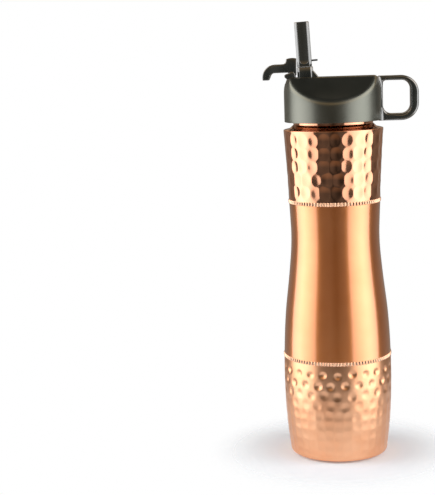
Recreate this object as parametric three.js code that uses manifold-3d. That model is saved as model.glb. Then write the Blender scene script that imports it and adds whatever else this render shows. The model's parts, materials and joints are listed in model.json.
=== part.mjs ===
// Copper water bottle with a hammered neck and foot, a satin waist, and a black screw lid
// that carries a fold-down drinking spout, a flip-over lock lever and a carry loop.
//
// Millimetres, +Z up, origin at the centre of the underside. The carry loop points to +X,
// the lock lever to -X. The spout stands up at rest and folds towards +X into its trough.

import * as THREE from 'three';
import { mergeVertices } from 'three/addons/utils/BufferGeometryUtils.js';
import Module from 'manifold-3d';

const wasm = await Module();
wasm.setup();

// ---------------------------------------------------------------- driving dimensions

const GAP = 0.3;                 // clearance kept between neighbouring pieces
const COPPER_WALL = 0.7;
const ROUND = 48;                // segments around the bottle
const LID_ROUND = 64;            // segments around the lid
const FINE_ROUND = 24;           // segments around small round pieces

// Bottle: outer radius at equal steps of height from the foot to the shoulder.
const BODY_TOP = 236.9;
const BODY_RADII = [35.2, 38.0, 39.0, 38.7, 37.1, 34.05, 31.85, 32.7, 33.9, 35.6];
const FOOT_FLAT_R = 30.6;
const FOOT_WALL = 0.9;
const FOOT_SEAM_Z = 3.2;
const LOWER_RING_Z = 73.7;
const UPPER_RING_Z = 186.6;
const RING_HEIGHT = 2.5;
const RING_PROUD = 0.5;
const RING_SLOPE = 0.6;          // height of the slope up to the ring's crest

// Shoulder and neck
const SHOULDER_IN_R = 31.0;
const SHOULDER_IN_Z = 238.9;
const NECK_R = 28.4;
const NECK_BASE_Z = 241.2;
const NECK_TOP_Z = 250.4;
const NECK_WALL = 1.2;
const THREAD_PITCH = 4;
const THREAD_HEIGHT = 1.1;
const THREAD_START_Z = 244;
const THREAD_TURNS = 1.25;
const LINER_THREAD_HEIGHT = 1;
const LINER_THREAD_START_Z = 246;

// Lid
const LID_R = 34.7;
const LID_BOTTOM_Z = 243.3;
const LID_TOP_Z = 274.7;
const LID_WALL = 2.2;
const LID_SHOULDER_Z = 264;      // the side curves inwards above this height
const LID_SHOULDER_R = 24;       // radius of that curve
const LID_EDGE = 0.7;            // chamfer around the top
const LINER_BORE_R = 29.9;
const LINER_R = LID_R - LID_WALL - GAP;
const GASKET_BOTTOM_Z = NECK_TOP_Z + GAP;
const GASKET_TOP_Z = 252.6;
const GASKET_BORE_R = 25.6;
const LINER_PLATE_Z = GASKET_TOP_Z + GAP;
const LINER_TOP_Z = 254.7;
const LID_FLOOR_Z = LINER_TOP_Z + GAP;

// Scoops in the front and back of the lid, and the bridge that they leave between them
const BRIDGE_HALF = 12.2;
const SCOOP_LOW_Z = 258.3;
const SCOOP_MIDDLE_Y = 24;       // the scoop's curve is drawn towards this distance
const SCOOP_HOLLOW = 1.2;        // and this far below the straight slope's middle
const TROUGH_FLOOR_Z = 257.3;
const TROUGH_HALF = 7.6;
const TROUGH_END_X = 32.3;
const TROUGH_START_X = -25.2;
const BRIDGE_WALL = 2.6;
const POCKET_HALF = 5.1;
const POCKET_X = -32.0;
const NOTCH_Z = 270.5;
const SEAL_SEAT_Z = TROUGH_FLOOR_Z - 1;

// Detent lugs on the bridge, beside the spout's hub
const LUG_START_X = -14.4;
const LUG_END_X = -9.7;
const LUG_TOP_Z = 279.2;
const LUG_HALF = 1.1;

// Drinking spout: turns about +Y at its hub and leans back a little when it stands up
const SPOUT_X = -18.45;
const SPOUT_Z = 263.4;
const SPOUT_LEAN = THREE.MathUtils.degToRad(-3);
const HUB_R = 4.2;
const HUB_HALF = 6.9;
const SPOUT_LENGTH = 50.3;
const SPOUT_SEAM = 18.6;         // joint between the spout arm and the mouthpiece
const SPOUT_PIN_R = 1.5;
const SPOUT_PIN_IN = 4.9;        // the two pins leave the hub's bore free between them
const SPOUT_PIN_OUT = 10;
const ARM_HALF = 3.2;            // half thickness of the arm above the hub
const ROOT_LOW = 8.6;            // full width of the root block starts here
const ROOT_FRONT = 5.8;
const ROOT_BACK = 5.5;
const MOUTH_HALF_X = 5.2;
const MOUTH_HALF_Y = 7.2;
const MOUTH_TIP_HALF_Y = 5.8;
const BORE_R = 2.2;
const SPIGOT_R = 3.2;
const SPIGOT_LENGTH = 5.6;
const VENT_ALONG = 22.8;         // distance of the vent plug from the hub
const VENT_ROOT = SPIGOT_R + 1.2;
const VENT_TIP = 9.5;
const VENT_R = 0.6;
const VENT_HOLE_R = 1.7;
const VENT_SEAL_R = 3.2;
const VENT_X = SPOUT_X + VENT_ALONG + 0.6;   // a little farther out, where the plug swings in

// Lock lever: turns about +Y on two ears at the edge of the lid
const LEVER_X = -28.5;
const LEVER_Z = 276.6;
const LEVER_HALF = 4.8;
const LEVER_TIP_HALF = 6.6;
const LEVER_BARREL_R = 2.2;
const LEVER_REACH = 12.0;        // greatest radius of the cam above the hinge
const HOOK_X = -12;              // centre and radius of the bend to the hooked end, from the hinge
const HOOK_Z = -1.3;
const HOOK_R = 9;
const LEVER_PIN_R = 0.9;
const EAR_R = 2.4;
const EAR_HALF = TROUGH_HALF;
const EAR_START_X = -25.7;
const EAR_TAIL_X = -33.9;

// Straw and its port, straight below the spout's hub
const PORT_R = 2.0;
const NIPPLE_R = 2.3;
const PORT_BOTTOM_Z = 243;
const PORT_FLANGE_R = 4.4;
const PORT_FLANGE = 1.4;
const PORT_SEAL_R = 3.6;
const PORT_SEAL_TOP_Z = 259.6;
const STRAW_R = 3.3;
const STRAW_BORE_R = 2.6;
const STRAW_BOTTOM_Z = 12;

// Carry loop
const LOOP_ROOT_X = 28;
const LOOP_OUT_X = 60.6;
const LOOP_IN_X = 54.7;
const LOOP_TOP_Z = 274.2;
const LOOP_BOTTOM_Z = 242.6;
const LOOP_HOLE_TOP_Z = 270.9;
const LOOP_HOLE_BOTTOM_Z = 247.4;
const LOOP_CORNER = 12.2;
const LOOP_HOLE_CORNER = 6.4;
const LOOP_ROOT_CORNER = 2;
const LOOP_HALF = 6;

// ---------------------------------------------------------------- materials

const polishedCopper = new THREE.MeshStandardMaterial({ color: 0xd98a5e, roughness: 0.12, metalness: 1 });
const satinCopper = new THREE.MeshStandardMaterial({ color: 0xd88c60, roughness: 0.32, metalness: 1 });
const satinBlack = new THREE.MeshStandardMaterial({ color: 0x1b1b19, roughness: 0.5, metalness: 0 });
const glossBlack = new THREE.MeshStandardMaterial({ color: 0x121211, roughness: 0.2, metalness: 0 });
const silicone = new THREE.MeshStandardMaterial({ color: 0x3b3b3b, roughness: 0.7, metalness: 0 });
const strawPlastic = new THREE.MeshStandardMaterial({ color: 0xe6e4dc, roughness: 0.4, metalness: 0 });
const steel = new THREE.MeshStandardMaterial({ color: 0xb9bcc0, roughness: 0.3, metalness: 1 });

// ---------------------------------------------------------------- geometry helpers

const bottle = new THREE.Group();

// Merges shared corners and turns the faces outwards if they point in.
function closed(geometry) {
  const bare = geometry.clone();
  bare.deleteAttribute('normal');
  bare.deleteAttribute('uv');
  const merged = mergeVertices(bare, 1e-4);
  const position = merged.getAttribute('position');
  const index = Array.from(merged.getIndex().array);
  const corner = [new THREE.Vector3(), new THREE.Vector3(), new THREE.Vector3()];
  const kept = [];
  let volume = 0;
  for (let i = 0; i < index.length; i += 3) {
    const [a, b, c] = index.slice(i, i + 3);
    if (a === b || b === c || c === a) continue;
    kept.push(a, b, c);
    corner[0].fromBufferAttribute(position, a);
    corner[1].fromBufferAttribute(position, b);
    corner[2].fromBufferAttribute(position, c);
    volume += corner[0].dot(corner[1].cross(corner[2]));
  }
  if (volume < 0) kept.reverse();
  merged.setIndex(kept);
  return merged;
}

function solid(geometry) {
  const mesh = closed(geometry);
  return new wasm.Manifold(new wasm.Mesh({
    numProp: 3,
    vertProperties: new Float32Array(mesh.getAttribute('position').array),
    triVerts: new Uint32Array(mesh.getIndex().array),
  }));
}

function fromSolid(shape) {
  const mesh = shape.getMesh();
  const geometry = new THREE.BufferGeometry();
  geometry.setAttribute('position', new THREE.BufferAttribute(new Float32Array(mesh.vertProperties), 3));
  geometry.setIndex(new THREE.BufferAttribute(new Uint32Array(mesh.triVerts), 1));
  geometry.computeVertexNormals();
  return geometry;
}

function addPiece(name, geometry, material, parent = bottle) {
  const piece = new THREE.Mesh(geometry, material);
  piece.name = name;
  parent.add(piece);
  return piece;
}

// Turns a closed [radius, height] outline about +Z.
function turned(outline, segments = ROUND) {
  const onAxis = outline[0][0] === 0 && outline[outline.length - 1][0] === 0;
  const points = (onAxis ? outline : [...outline, outline[0]]).map(([r, z]) => new THREE.Vector2(r, z));
  return closed(new THREE.LatheGeometry(points, segments).rotateX(Math.PI / 2));
}

// Extrudes a shape drawn in X and Z from -half to +half along Y.
function prismY(shape, half, curveSegments = 8, holdY = 0) {
  const geometry = new THREE.ExtrudeGeometry(shape, { depth: 2 * half, bevelEnabled: false, curveSegments });
  return closed(geometry.rotateX(Math.PI / 2).translate(0, half + holdY, 0));
}

// Extrudes a shape drawn in Y and Z from -half to +half along X.
function prismX(shape, half, curveSegments = 8) {
  const geometry = new THREE.ExtrudeGeometry(shape, { depth: 2 * half, bevelEnabled: false, curveSegments });
  const turn = new THREE.Matrix4().makeBasis(
    new THREE.Vector3(0, 1, 0), new THREE.Vector3(0, 0, 1), new THREE.Vector3(1, 0, 0));
  return closed(geometry.translate(0, 0, -half).applyMatrix4(turn));
}

function rodX(radius, fromX, toX, z) {
  const rod = new THREE.CylinderGeometry(radius, radius, toX - fromX, FINE_ROUND / 2);
  return closed(rod.rotateZ(Math.PI / 2).translate((fromX + toX) / 2, 0, z));
}

function rodY(radius, fromY, toY, x = 0, z = 0) {
  const rod = new THREE.CylinderGeometry(radius, radius, toY - fromY, FINE_ROUND);
  return closed(rod.translate(x, (fromY + toY) / 2, z));
}

function rodZ(radius, fromZ, toZ, x = 0, segments = FINE_ROUND) {
  const rod = new THREE.CylinderGeometry(radius, radius, toZ - fromZ, segments);
  return closed(rod.rotateX(Math.PI / 2).translate(x, 0, (fromZ + toZ) / 2));
}

function bothSides(shape) {
  return shape.add(shape.mirror([0, 1, 0]));
}

function block(fromX, toX, fromY, toY, fromZ, toZ) {
  const box = new THREE.BoxGeometry(toX - fromX, toY - fromY, toZ - fromZ);
  return closed(box.translate((fromX + toX) / 2, (fromY + toY) / 2, (fromZ + toZ) / 2));
}

function outline(points) {
  return new THREE.Shape(points.map(([a, b]) => new THREE.Vector2(a, b)));
}

// Radius of the bottle's outside at a height: a Catmull-Rom curve through BODY_RADII.
function bodyRadius(z) {
  const last = BODY_RADII.length - 1;
  const place = THREE.MathUtils.clamp(z / BODY_TOP, 0, 1) * last;
  const i = Math.min(Math.floor(place), last - 1);
  const t = place - i;
  const b = BODY_RADII[i];
  const c = BODY_RADII[i + 1];
  const a = i > 0 ? BODY_RADII[i - 1] : 2 * b - c;
  const d = i < last - 1 ? BODY_RADII[i + 2] : 2 * c - b;
  return b + 0.5 * t * (c - a + t * (2 * a - 5 * b + 4 * c - d + t * (3 * (b - c) + d - a)));
}

// A shell that follows the body's curve between two heights.
function bodyShell(fromZ, toZ, steps) {
  const outside = [];
  for (let i = 0; i <= steps; i += 1) {
    const z = fromZ + (toZ - fromZ) * i / steps;
    outside.push([bodyRadius(z), z]);
  }
  const inside = outside.map(([r, z]) => [r - COPPER_WALL, z]).reverse();
  return turned([...outside, ...inside]);
}

// A helical ridge with a four-sided section. Its ends run out into the wall it stands on.
function helicalRidge({ rootR, crestR, rootHalf, crestHalf, startZ, turns }) {
  const steps = Math.round(turns * ROUND);
  const runOut = ROUND / 8;
  const positions = [];
  const index = [];
  for (let i = 0; i <= steps; i += 1) {
    const angle = i / ROUND * 2 * Math.PI;
    const z = startZ + THREAD_PITCH * i / ROUND;
    const grow = Math.min(1, i / runOut, (steps - i) / runOut) * 0.96 + 0.04;
    const crest = rootR + (crestR - rootR) * grow;
    const section = [[rootR, -rootHalf], [crest, -crestHalf], [crest, crestHalf], [rootR, rootHalf]];
    section.forEach(([r, dz]) => positions.push(r * Math.cos(angle), r * Math.sin(angle), z + dz));
  }
  for (let i = 0; i < steps; i += 1) {
    for (let k = 0; k < 4; k += 1) {
      const a = 4 * i + k;
      const b = 4 * i + (k + 1) % 4;
      index.push(a, b, b + 4, a, b + 4, a + 4);
    }
  }
  const end = 4 * steps;
  index.push(0, 3, 2, 0, 2, 1, end, end + 1, end + 2, end, end + 2, end + 3);
  const geometry = new THREE.BufferGeometry();
  geometry.setAttribute('position', new THREE.Float32BufferAttribute(positions, 3));
  geometry.setIndex(index);
  return closed(geometry);
}

// ---------------------------------------------------------------- bottle

function beadRing(z) {
  const r = bodyRadius(z);
  const low = z - RING_HEIGHT / 2;
  const high = z + RING_HEIGHT / 2;
  return turned([
    [r - COPPER_WALL, low],
    [r, low],
    [r + RING_PROUD, low + RING_SLOPE],
    [r + RING_PROUD, high - RING_SLOPE],
    [r, high],
    [r - COPPER_WALL, high],
  ]);
}

function basePlate() {
  const rim = bodyRadius(FOOT_SEAM_Z);
  return turned([
    [0, 0],
    [FOOT_FLAT_R, 0],
    [33.6, 0.7],
    [rim - 0.3, 2.1],
    [rim, FOOT_SEAM_Z - GAP],
    [rim - COPPER_WALL, FOOT_SEAM_Z - GAP],
    [33.2, 1.7],
    [FOOT_FLAT_R, FOOT_WALL],
    [0, FOOT_WALL],
  ]);
}

function shoulderRing() {
  const rim = bodyRadius(BODY_TOP);
  const low = BODY_TOP + GAP;
  return turned([
    [rim - COPPER_WALL, low],
    [rim, low],
    [rim - 0.3, low + 0.7],
    [SHOULDER_IN_R, SHOULDER_IN_Z],
    [NECK_R + 0.1, NECK_BASE_Z],
    [NECK_R - COPPER_WALL, NECK_BASE_Z],
    [SHOULDER_IN_R - COPPER_WALL, SHOULDER_IN_Z - COPPER_WALL],
  ]);
}

function threadedNeck() {
  const tube = turned([
    [NECK_R - NECK_WALL, NECK_BASE_Z + GAP],
    [NECK_R, NECK_BASE_Z + GAP],
    [NECK_R, NECK_TOP_Z - 0.4],
    [NECK_R - 0.4, NECK_TOP_Z],
    [NECK_R - NECK_WALL, NECK_TOP_Z],
  ]);
  const thread = helicalRidge({
    rootR: NECK_R - 0.4,
    crestR: NECK_R + THREAD_HEIGHT,
    rootHalf: 1.3,
    crestHalf: 0.6,
    startZ: THREAD_START_Z,
    turns: THREAD_TURNS,
  });
  return fromSolid(solid(tube).add(solid(thread)));
}

const lowerRingLow = LOWER_RING_Z - RING_HEIGHT / 2;
const lowerRingHigh = LOWER_RING_Z + RING_HEIGHT / 2;
const upperRingLow = UPPER_RING_Z - RING_HEIGHT / 2;
const upperRingHigh = UPPER_RING_Z + RING_HEIGHT / 2;

addPiece('base_plate', basePlate(), satinCopper);
addPiece('lower_band', bodyShell(FOOT_SEAM_Z, lowerRingLow - GAP, 7), satinCopper);
addPiece('lower_bead_ring', beadRing(LOWER_RING_Z), satinCopper);
addPiece('waist_shell', bodyShell(lowerRingHigh + GAP, upperRingLow - GAP, 10), satinCopper);
addPiece('upper_bead_ring', beadRing(UPPER_RING_Z), satinCopper);
addPiece('upper_band', bodyShell(upperRingHigh + GAP, BODY_TOP, 4), polishedCopper);
addPiece('shoulder_ring', shoulderRing(), polishedCopper);
addPiece('threaded_neck', threadedNeck(), polishedCopper);

// ---------------------------------------------------------------- lid

// Section of a scoop, drawn in Y and Z from the bridge out past the lid's side. Its surface can be
// dropped by a wall's thickness.
function scoopShape(drop) {
  const above = 8;
  const past = 6;
  const slope = (LID_TOP_Z - SCOOP_LOW_Z) / (LID_R - BRIDGE_HALF);
  const middleZ = (LID_TOP_Z + SCOOP_LOW_Z) / 2 - SCOOP_HOLLOW;
  const shape = new THREE.Shape();
  shape.moveTo(BRIDGE_HALF - above / slope, LID_TOP_Z + above - drop);
  shape.quadraticCurveTo(SCOOP_MIDDLE_Y, middleZ - drop, LID_R + 0.1, SCOOP_LOW_Z - drop);
  shape.lineTo(LID_R + past, SCOOP_LOW_Z - drop - 2);
  shape.lineTo(LID_R + past, LID_TOP_Z + above);
  shape.closePath();
  return shape;
}

// The lid without its scoops and trough. A positive inset gives the hollow inside its wall.
function lidOutside(inset) {
  const r = LID_R - inset;
  const curveTop = LID_TOP_Z - LID_EDGE - inset;
  const points = [];
  const steps = 5;
  for (let i = 0; i <= steps; i += 1) {
    const rise = (curveTop - LID_SHOULDER_Z) * i / steps;
    points.push([r - LID_SHOULDER_R + Math.sqrt(LID_SHOULDER_R ** 2 - rise ** 2), LID_SHOULDER_Z + rise]);
  }
  const edge = points[steps][0];
  const bottom = inset > 0 ? LINER_TOP_Z - 1 : LID_BOTTOM_Z;
  const top = LID_TOP_Z - inset;
  return turned([[0, bottom], [r, bottom], ...points, [edge - LID_EDGE, top], [0, top]], LID_ROUND);
}

// Space under the scoops, on both sides of the bridge.
function sideVoids() {
  const reach = LID_R + 5;
  const inner = solid(lidOutside(LID_WALL));
  const beside = solid(block(-reach, reach, TROUGH_HALF + BRIDGE_WALL, reach, LID_FLOOR_Z - 1, LID_TOP_Z));
  const scoop = solid(prismX(scoopShape(LID_WALL + 0.6), reach));
  return bothSides(inner.intersect(beside).subtract(scoop));
}

// Ear that holds the lever's pin, with a rounded tail that hangs over the lid's edge.
function earShape() {
  const low = LID_TOP_Z - 2;
  const tailZ = 275.9;
  const shape = new THREE.Shape();
  shape.moveTo(EAR_START_X, low);
  shape.lineTo(EAR_START_X, LEVER_Z);
  shape.absarc(LEVER_X, LEVER_Z, EAR_R, 0, Math.PI * 0.8, false);
  shape.lineTo(EAR_TAIL_X + 1.1, 277.2);
  shape.quadraticCurveTo(EAR_TAIL_X, 277, EAR_TAIL_X, tailZ);
  shape.quadraticCurveTo(EAR_TAIL_X, 274.8, EAR_TAIL_X + 1.3, 274.4);
  shape.lineTo(EAR_TAIL_X + 2.7, low);
  shape.closePath();
  return shape;
}

function lugShape() {
  const low = LID_TOP_Z - 2.7;
  return outline([
    [LUG_START_X, low],
    [LUG_START_X, LUG_TOP_Z - 0.2],
    [LUG_START_X + 0.8, LUG_TOP_Z],
    [LUG_END_X, LID_TOP_Z],
    [LUG_END_X, low],
  ]);
}

function lidShell() {
  const reach = LID_R + 5;
  const high = LID_TOP_Z + 10;
  const scoop = solid(prismX(scoopShape(0), reach));
  const skirtBore = solid(rodZ(LID_R - LID_WALL, LID_BOTTOM_Z - 5, LID_FLOOR_Z, 0, LID_ROUND));
  const trough = solid(block(TROUGH_START_X, TROUGH_END_X, -TROUGH_HALF, TROUGH_HALF, TROUGH_FLOOR_Z, high));
  const pocket = solid(block(POCKET_X, TROUGH_START_X + 1, -POCKET_HALF, POCKET_HALF, TROUGH_FLOOR_Z, high));
  const notch = solid(block(-reach, POCKET_X + 1, -POCKET_HALF, POCKET_HALF, NOTCH_Z, high));
  const earMiddle = (POCKET_HALF + EAR_HALF) / 2;
  const ear = solid(prismY(earShape(), (EAR_HALF - POCKET_HALF) / 2, 8, earMiddle));
  const lug = solid(prismY(lugShape(), LUG_HALF, 8, TROUGH_HALF + 1.3));
  const leverPinHole = solid(rodY(LEVER_PIN_R + GAP, -EAR_HALF - 1, EAR_HALF + 1, LEVER_X, LEVER_Z));
  const bridge = BRIDGE_HALF + 0.8;
  const spoutPinHole = solid(rodY(SPOUT_PIN_R + GAP, -bridge, bridge, SPOUT_X, SPOUT_Z));
  const portHole = solid(rodZ(NIPPLE_R + GAP, LID_FLOOR_Z - 2, TROUGH_FLOOR_Z + 2, SPOUT_X));
  const sealSeat = solid(rodZ(PORT_SEAL_R + GAP, SEAL_SEAT_Z, TROUGH_FLOOR_Z + 2, SPOUT_X));
  const ventHole = solid(rodZ(VENT_HOLE_R, LID_FLOOR_Z - 2, TROUGH_FLOOR_Z + 2, VENT_X));
  const ventSeat = solid(rodZ(VENT_SEAL_R + GAP, SEAL_SEAT_Z, TROUGH_FLOOR_Z + 2, VENT_X));
  const shell = solid(lidOutside(0))
    .subtract(bothSides(scoop))
    .subtract(skirtBore)
    .subtract(sideVoids())
    .subtract(trough)
    .add(bothSides(ear))
    .subtract(pocket)
    .subtract(notch)
    .add(bothSides(lug))
    .subtract(leverPinHole)
    .subtract(spoutPinHole)
    .subtract(portHole)
    .subtract(sealSeat)
    .subtract(ventHole)
    .subtract(ventSeat);
  return fromSolid(shell);
}

function lidLiner() {
  const cup = solid(turned([
    [0, LINER_PLATE_Z],
    [LINER_BORE_R, LINER_PLATE_Z],
    [LINER_BORE_R, LID_BOTTOM_Z + 0.4],
    [LINER_R, LID_BOTTOM_Z + 0.4],
    [LINER_R, LINER_TOP_Z],
    [0, LINER_TOP_Z],
  ]));
  const thread = solid(helicalRidge({
    rootR: LINER_BORE_R + 0.4,
    crestR: LINER_BORE_R - LINER_THREAD_HEIGHT,
    rootHalf: 1.2,
    crestHalf: 0.5,
    startZ: LINER_THREAD_START_Z,
    turns: 1,
  }));
  const portHole = solid(rodZ(NIPPLE_R + GAP, LINER_PLATE_Z - 2, LINER_TOP_Z + 2, SPOUT_X));
  const ventHole = solid(rodZ(VENT_HOLE_R, LINER_PLATE_Z - 2, LINER_TOP_Z + 2, VENT_X));
  return fromSolid(cup.add(thread).subtract(portHole).subtract(ventHole));
}

function lidGasket() {
  return turned([
    [GASKET_BORE_R, GASKET_BOTTOM_Z],
    [LINER_BORE_R - GAP, GASKET_BOTTOM_Z],
    [LINER_BORE_R - GAP, GASKET_TOP_Z],
    [GASKET_BORE_R, GASKET_TOP_Z],
  ]);
}

// Tube with a flange under the liner: the straw pushes onto its lower end.
function strawPort() {
  const flangeTop = LINER_PLATE_Z - GAP;
  return turned([
    [PORT_R, PORT_BOTTOM_Z],
    [NIPPLE_R, PORT_BOTTOM_Z],
    [NIPPLE_R, flangeTop - PORT_FLANGE],
    [PORT_FLANGE_R, flangeTop - PORT_FLANGE],
    [PORT_FLANGE_R, flangeTop],
    [NIPPLE_R, flangeTop],
    [NIPPLE_R, SEAL_SEAT_Z - GAP],
    [PORT_R, SEAL_SEAT_Z - GAP],
  ], FINE_ROUND).translate(SPOUT_X, 0, 0);
}

function straw() {
  const top = LINER_PLATE_Z - 2 * GAP - PORT_FLANGE;
  return turned([
    [STRAW_BORE_R, STRAW_BOTTOM_Z],
    [STRAW_R, STRAW_BOTTOM_Z],
    [STRAW_R, top],
    [STRAW_BORE_R, top],
  ], ROUND / 3).translate(SPOUT_X, 0, 0);
}

// Saddle that the hub turns on.
function portSeal() {
  const ring = solid(turned([
    [PORT_R, SEAL_SEAT_Z + GAP],
    [PORT_SEAL_R, SEAL_SEAT_Z + GAP],
    [PORT_SEAL_R, PORT_SEAL_TOP_Z],
    [PORT_R, PORT_SEAL_TOP_Z],
  ], FINE_ROUND).translate(SPOUT_X, 0, 0));
  return fromSolid(ring.subtract(solid(rodY(HUB_R + GAP, -10, 10, SPOUT_X, SPOUT_Z))));
}

function ventSeal() {
  return turned([
    [VENT_HOLE_R, SEAL_SEAT_Z + GAP],
    [VENT_SEAL_R, SEAL_SEAT_Z + GAP],
    [VENT_SEAL_R, TROUGH_FLOOR_Z + 0.3],
    [VENT_HOLE_R, TROUGH_FLOOR_Z + 0.3],
  ], FINE_ROUND).translate(VENT_X, 0, 0);
}

// Rectangle with rounded outer corners, square where it meets the lid.
function loopShape() {
  const shape = new THREE.Shape();
  shape.moveTo(LOOP_ROOT_X, LOOP_BOTTOM_Z);
  shape.lineTo(LOOP_OUT_X - LOOP_CORNER, LOOP_BOTTOM_Z);
  shape.absarc(LOOP_OUT_X - LOOP_CORNER, LOOP_BOTTOM_Z + LOOP_CORNER, LOOP_CORNER, -Math.PI / 2, 0, false);
  shape.absarc(LOOP_OUT_X - LOOP_CORNER, LOOP_TOP_Z - LOOP_CORNER, LOOP_CORNER, 0, Math.PI / 2, false);
  shape.lineTo(LOOP_ROOT_X, LOOP_TOP_Z);
  shape.closePath();
  return shape;
}

function loopHoleShape() {
  const left = LID_R + 1.2;
  const corner = LOOP_HOLE_CORNER;
  const root = LOOP_ROOT_CORNER;
  const shape = new THREE.Shape();
  shape.moveTo(left + corner, LOOP_HOLE_BOTTOM_Z);
  shape.lineTo(LOOP_IN_X - corner, LOOP_HOLE_BOTTOM_Z);
  shape.absarc(LOOP_IN_X - corner, LOOP_HOLE_BOTTOM_Z + corner, corner, -Math.PI / 2, 0, false);
  shape.absarc(LOOP_IN_X - corner, LOOP_HOLE_TOP_Z - corner, corner, 0, Math.PI / 2, false);
  shape.lineTo(left + root, LOOP_HOLE_TOP_Z);
  shape.absarc(left + root, LOOP_HOLE_TOP_Z - root, root, Math.PI / 2, Math.PI, false);
  shape.lineTo(left, LOOP_HOLE_BOTTOM_Z + corner);
  shape.absarc(left + corner, LOOP_HOLE_BOTTOM_Z + corner, corner, Math.PI, 1.5 * Math.PI, false);
  return shape;
}

function carryLoop() {
  const skirt = solid(rodZ(LID_R + GAP, LID_BOTTOM_Z - 4, LID_SHOULDER_Z, 0, LID_ROUND));
  const loop = solid(prismY(loopShape(), LOOP_HALF, 6))
    .subtract(solid(prismY(loopHoleShape(), LOOP_HALF + 1, 6)))
    .subtract(solid(lidOutside(-GAP)).add(skirt));
  return fromSolid(loop);
}

addPiece('lid_gasket', lidGasket(), silicone);
addPiece('lid_shell', lidShell(), satinBlack);
addPiece('lid_liner', lidLiner(), satinBlack);
addPiece('carry_loop', carryLoop(), glossBlack);
addPiece('straw_port', strawPort(), satinBlack);
addPiece('straw', straw(), strawPlastic);
addPiece('port_seal', portSeal(), silicone);
addPiece('vent_seal', ventSeal(), silicone);

// Short pins through the bridge walls: the hub turns on them, clear of its own bore.
addPiece('spout_pin_front', rodY(SPOUT_PIN_R, -SPOUT_PIN_OUT, -SPOUT_PIN_IN, SPOUT_X, SPOUT_Z), steel);
addPiece('spout_pin_back', rodY(SPOUT_PIN_R, SPOUT_PIN_IN, SPOUT_PIN_OUT, SPOUT_X, SPOUT_Z), steel);
addPiece('lever_pin', rodY(LEVER_PIN_R, -EAR_HALF + 0.2, EAR_HALF - 0.2, LEVER_X, LEVER_Z), steel);

// ---------------------------------------------------------------- spout

// The spout's own frame: hub at the origin, +Z along the spout, +X towards the loop.
const spout = new THREE.Group();
spout.position.set(SPOUT_X, 0, SPOUT_Z);
spout.rotation.y = SPOUT_LEAN;
bottle.add(spout);

function spoutArm() {
  const armTop = 6.6;
  const arm = solid(prismY(outline([
    [-ARM_HALF, 0],
    [ARM_HALF, 0],
    [ARM_HALF, armTop],
    [-ARM_HALF, armTop],
  ]), HUB_HALF));
  const rootBlock = solid(prismY(outline([
    [-ARM_HALF, armTop - 0.1],
    [ARM_HALF, armTop - 0.1],
    [ROOT_FRONT, ROOT_LOW],
    [ROOT_FRONT, SPOUT_SEAM],
    [-ROOT_BACK, SPOUT_SEAM],
    [-ROOT_BACK, ROOT_LOW],
  ]), MOUTH_HALF_Y));
  const spigot = solid(rodZ(SPIGOT_R, SPOUT_SEAM - 1, SPOUT_SEAM + SPIGOT_LENGTH));
  const bore = solid(rodZ(BORE_R, -HUB_R - 2, SPOUT_SEAM + SPIGOT_LENGTH + 2));
  const pinBores = bothSides(solid(rodY(SPOUT_PIN_R + GAP, SPOUT_PIN_IN - GAP, HUB_HALF + 2)));
  return fromSolid(solid(rodY(HUB_R, -HUB_HALF, HUB_HALF))
    .add(arm)
    .add(rootBlock)
    .add(spigot)
    .subtract(bore)
    .subtract(pinBores));
}

// Straight in front view, and narrowing towards the tip in side view.
function mouthpiece() {
  const base = SPOUT_SEAM + GAP;
  const taperStart = base + 9;
  const front = solid(prismY(outline([
    [-MOUTH_HALF_X, base],
    [MOUTH_HALF_X, base],
    [MOUTH_HALF_X, SPOUT_LENGTH - 1],
    [MOUTH_HALF_X - 1, SPOUT_LENGTH],
    [-MOUTH_HALF_X + 1, SPOUT_LENGTH],
    [-MOUTH_HALF_X, SPOUT_LENGTH - 1],
  ]), MOUTH_HALF_Y));
  const side = solid(prismX(outline([
    [-MOUTH_HALF_Y, base],
    [MOUTH_HALF_Y, base],
    [MOUTH_HALF_Y, taperStart],
    [MOUTH_TIP_HALF_Y, SPOUT_LENGTH - 2],
    [MOUTH_TIP_HALF_Y - 2, SPOUT_LENGTH],
    [2 - MOUTH_TIP_HALF_Y, SPOUT_LENGTH],
    [-MOUTH_TIP_HALF_Y, SPOUT_LENGTH - 2],
    [-MOUTH_HALF_Y, taperStart],
  ]), MOUTH_HALF_X + 1));
  const socket = solid(rodZ(SPIGOT_R + GAP, base - 1, SPOUT_SEAM + SPIGOT_LENGTH + GAP));
  const bore = solid(rodZ(BORE_R, base - 1, SPOUT_LENGTH + 2));
  const plugHole = solid(rodX(VENT_R + GAP, VENT_ROOT - GAP, MOUTH_HALF_X + 2, VENT_ALONG));
  return fromSolid(front.intersect(side).subtract(socket).subtract(bore).subtract(plugHole));
}

addPiece('spout_arm', spoutArm(), glossBlack, spout);
addPiece('mouthpiece', mouthpiece(), glossBlack, spout);
addPiece('vent_plug', rodX(VENT_R, VENT_ROOT, VENT_TIP, VENT_ALONG), silicone, spout);

// ---------------------------------------------------------------- lock lever

// The lever's own frame: hinge at the origin.
const lever = new THREE.Group();
lever.position.set(LEVER_X, 0, LEVER_Z);
bottle.add(lever);

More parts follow.
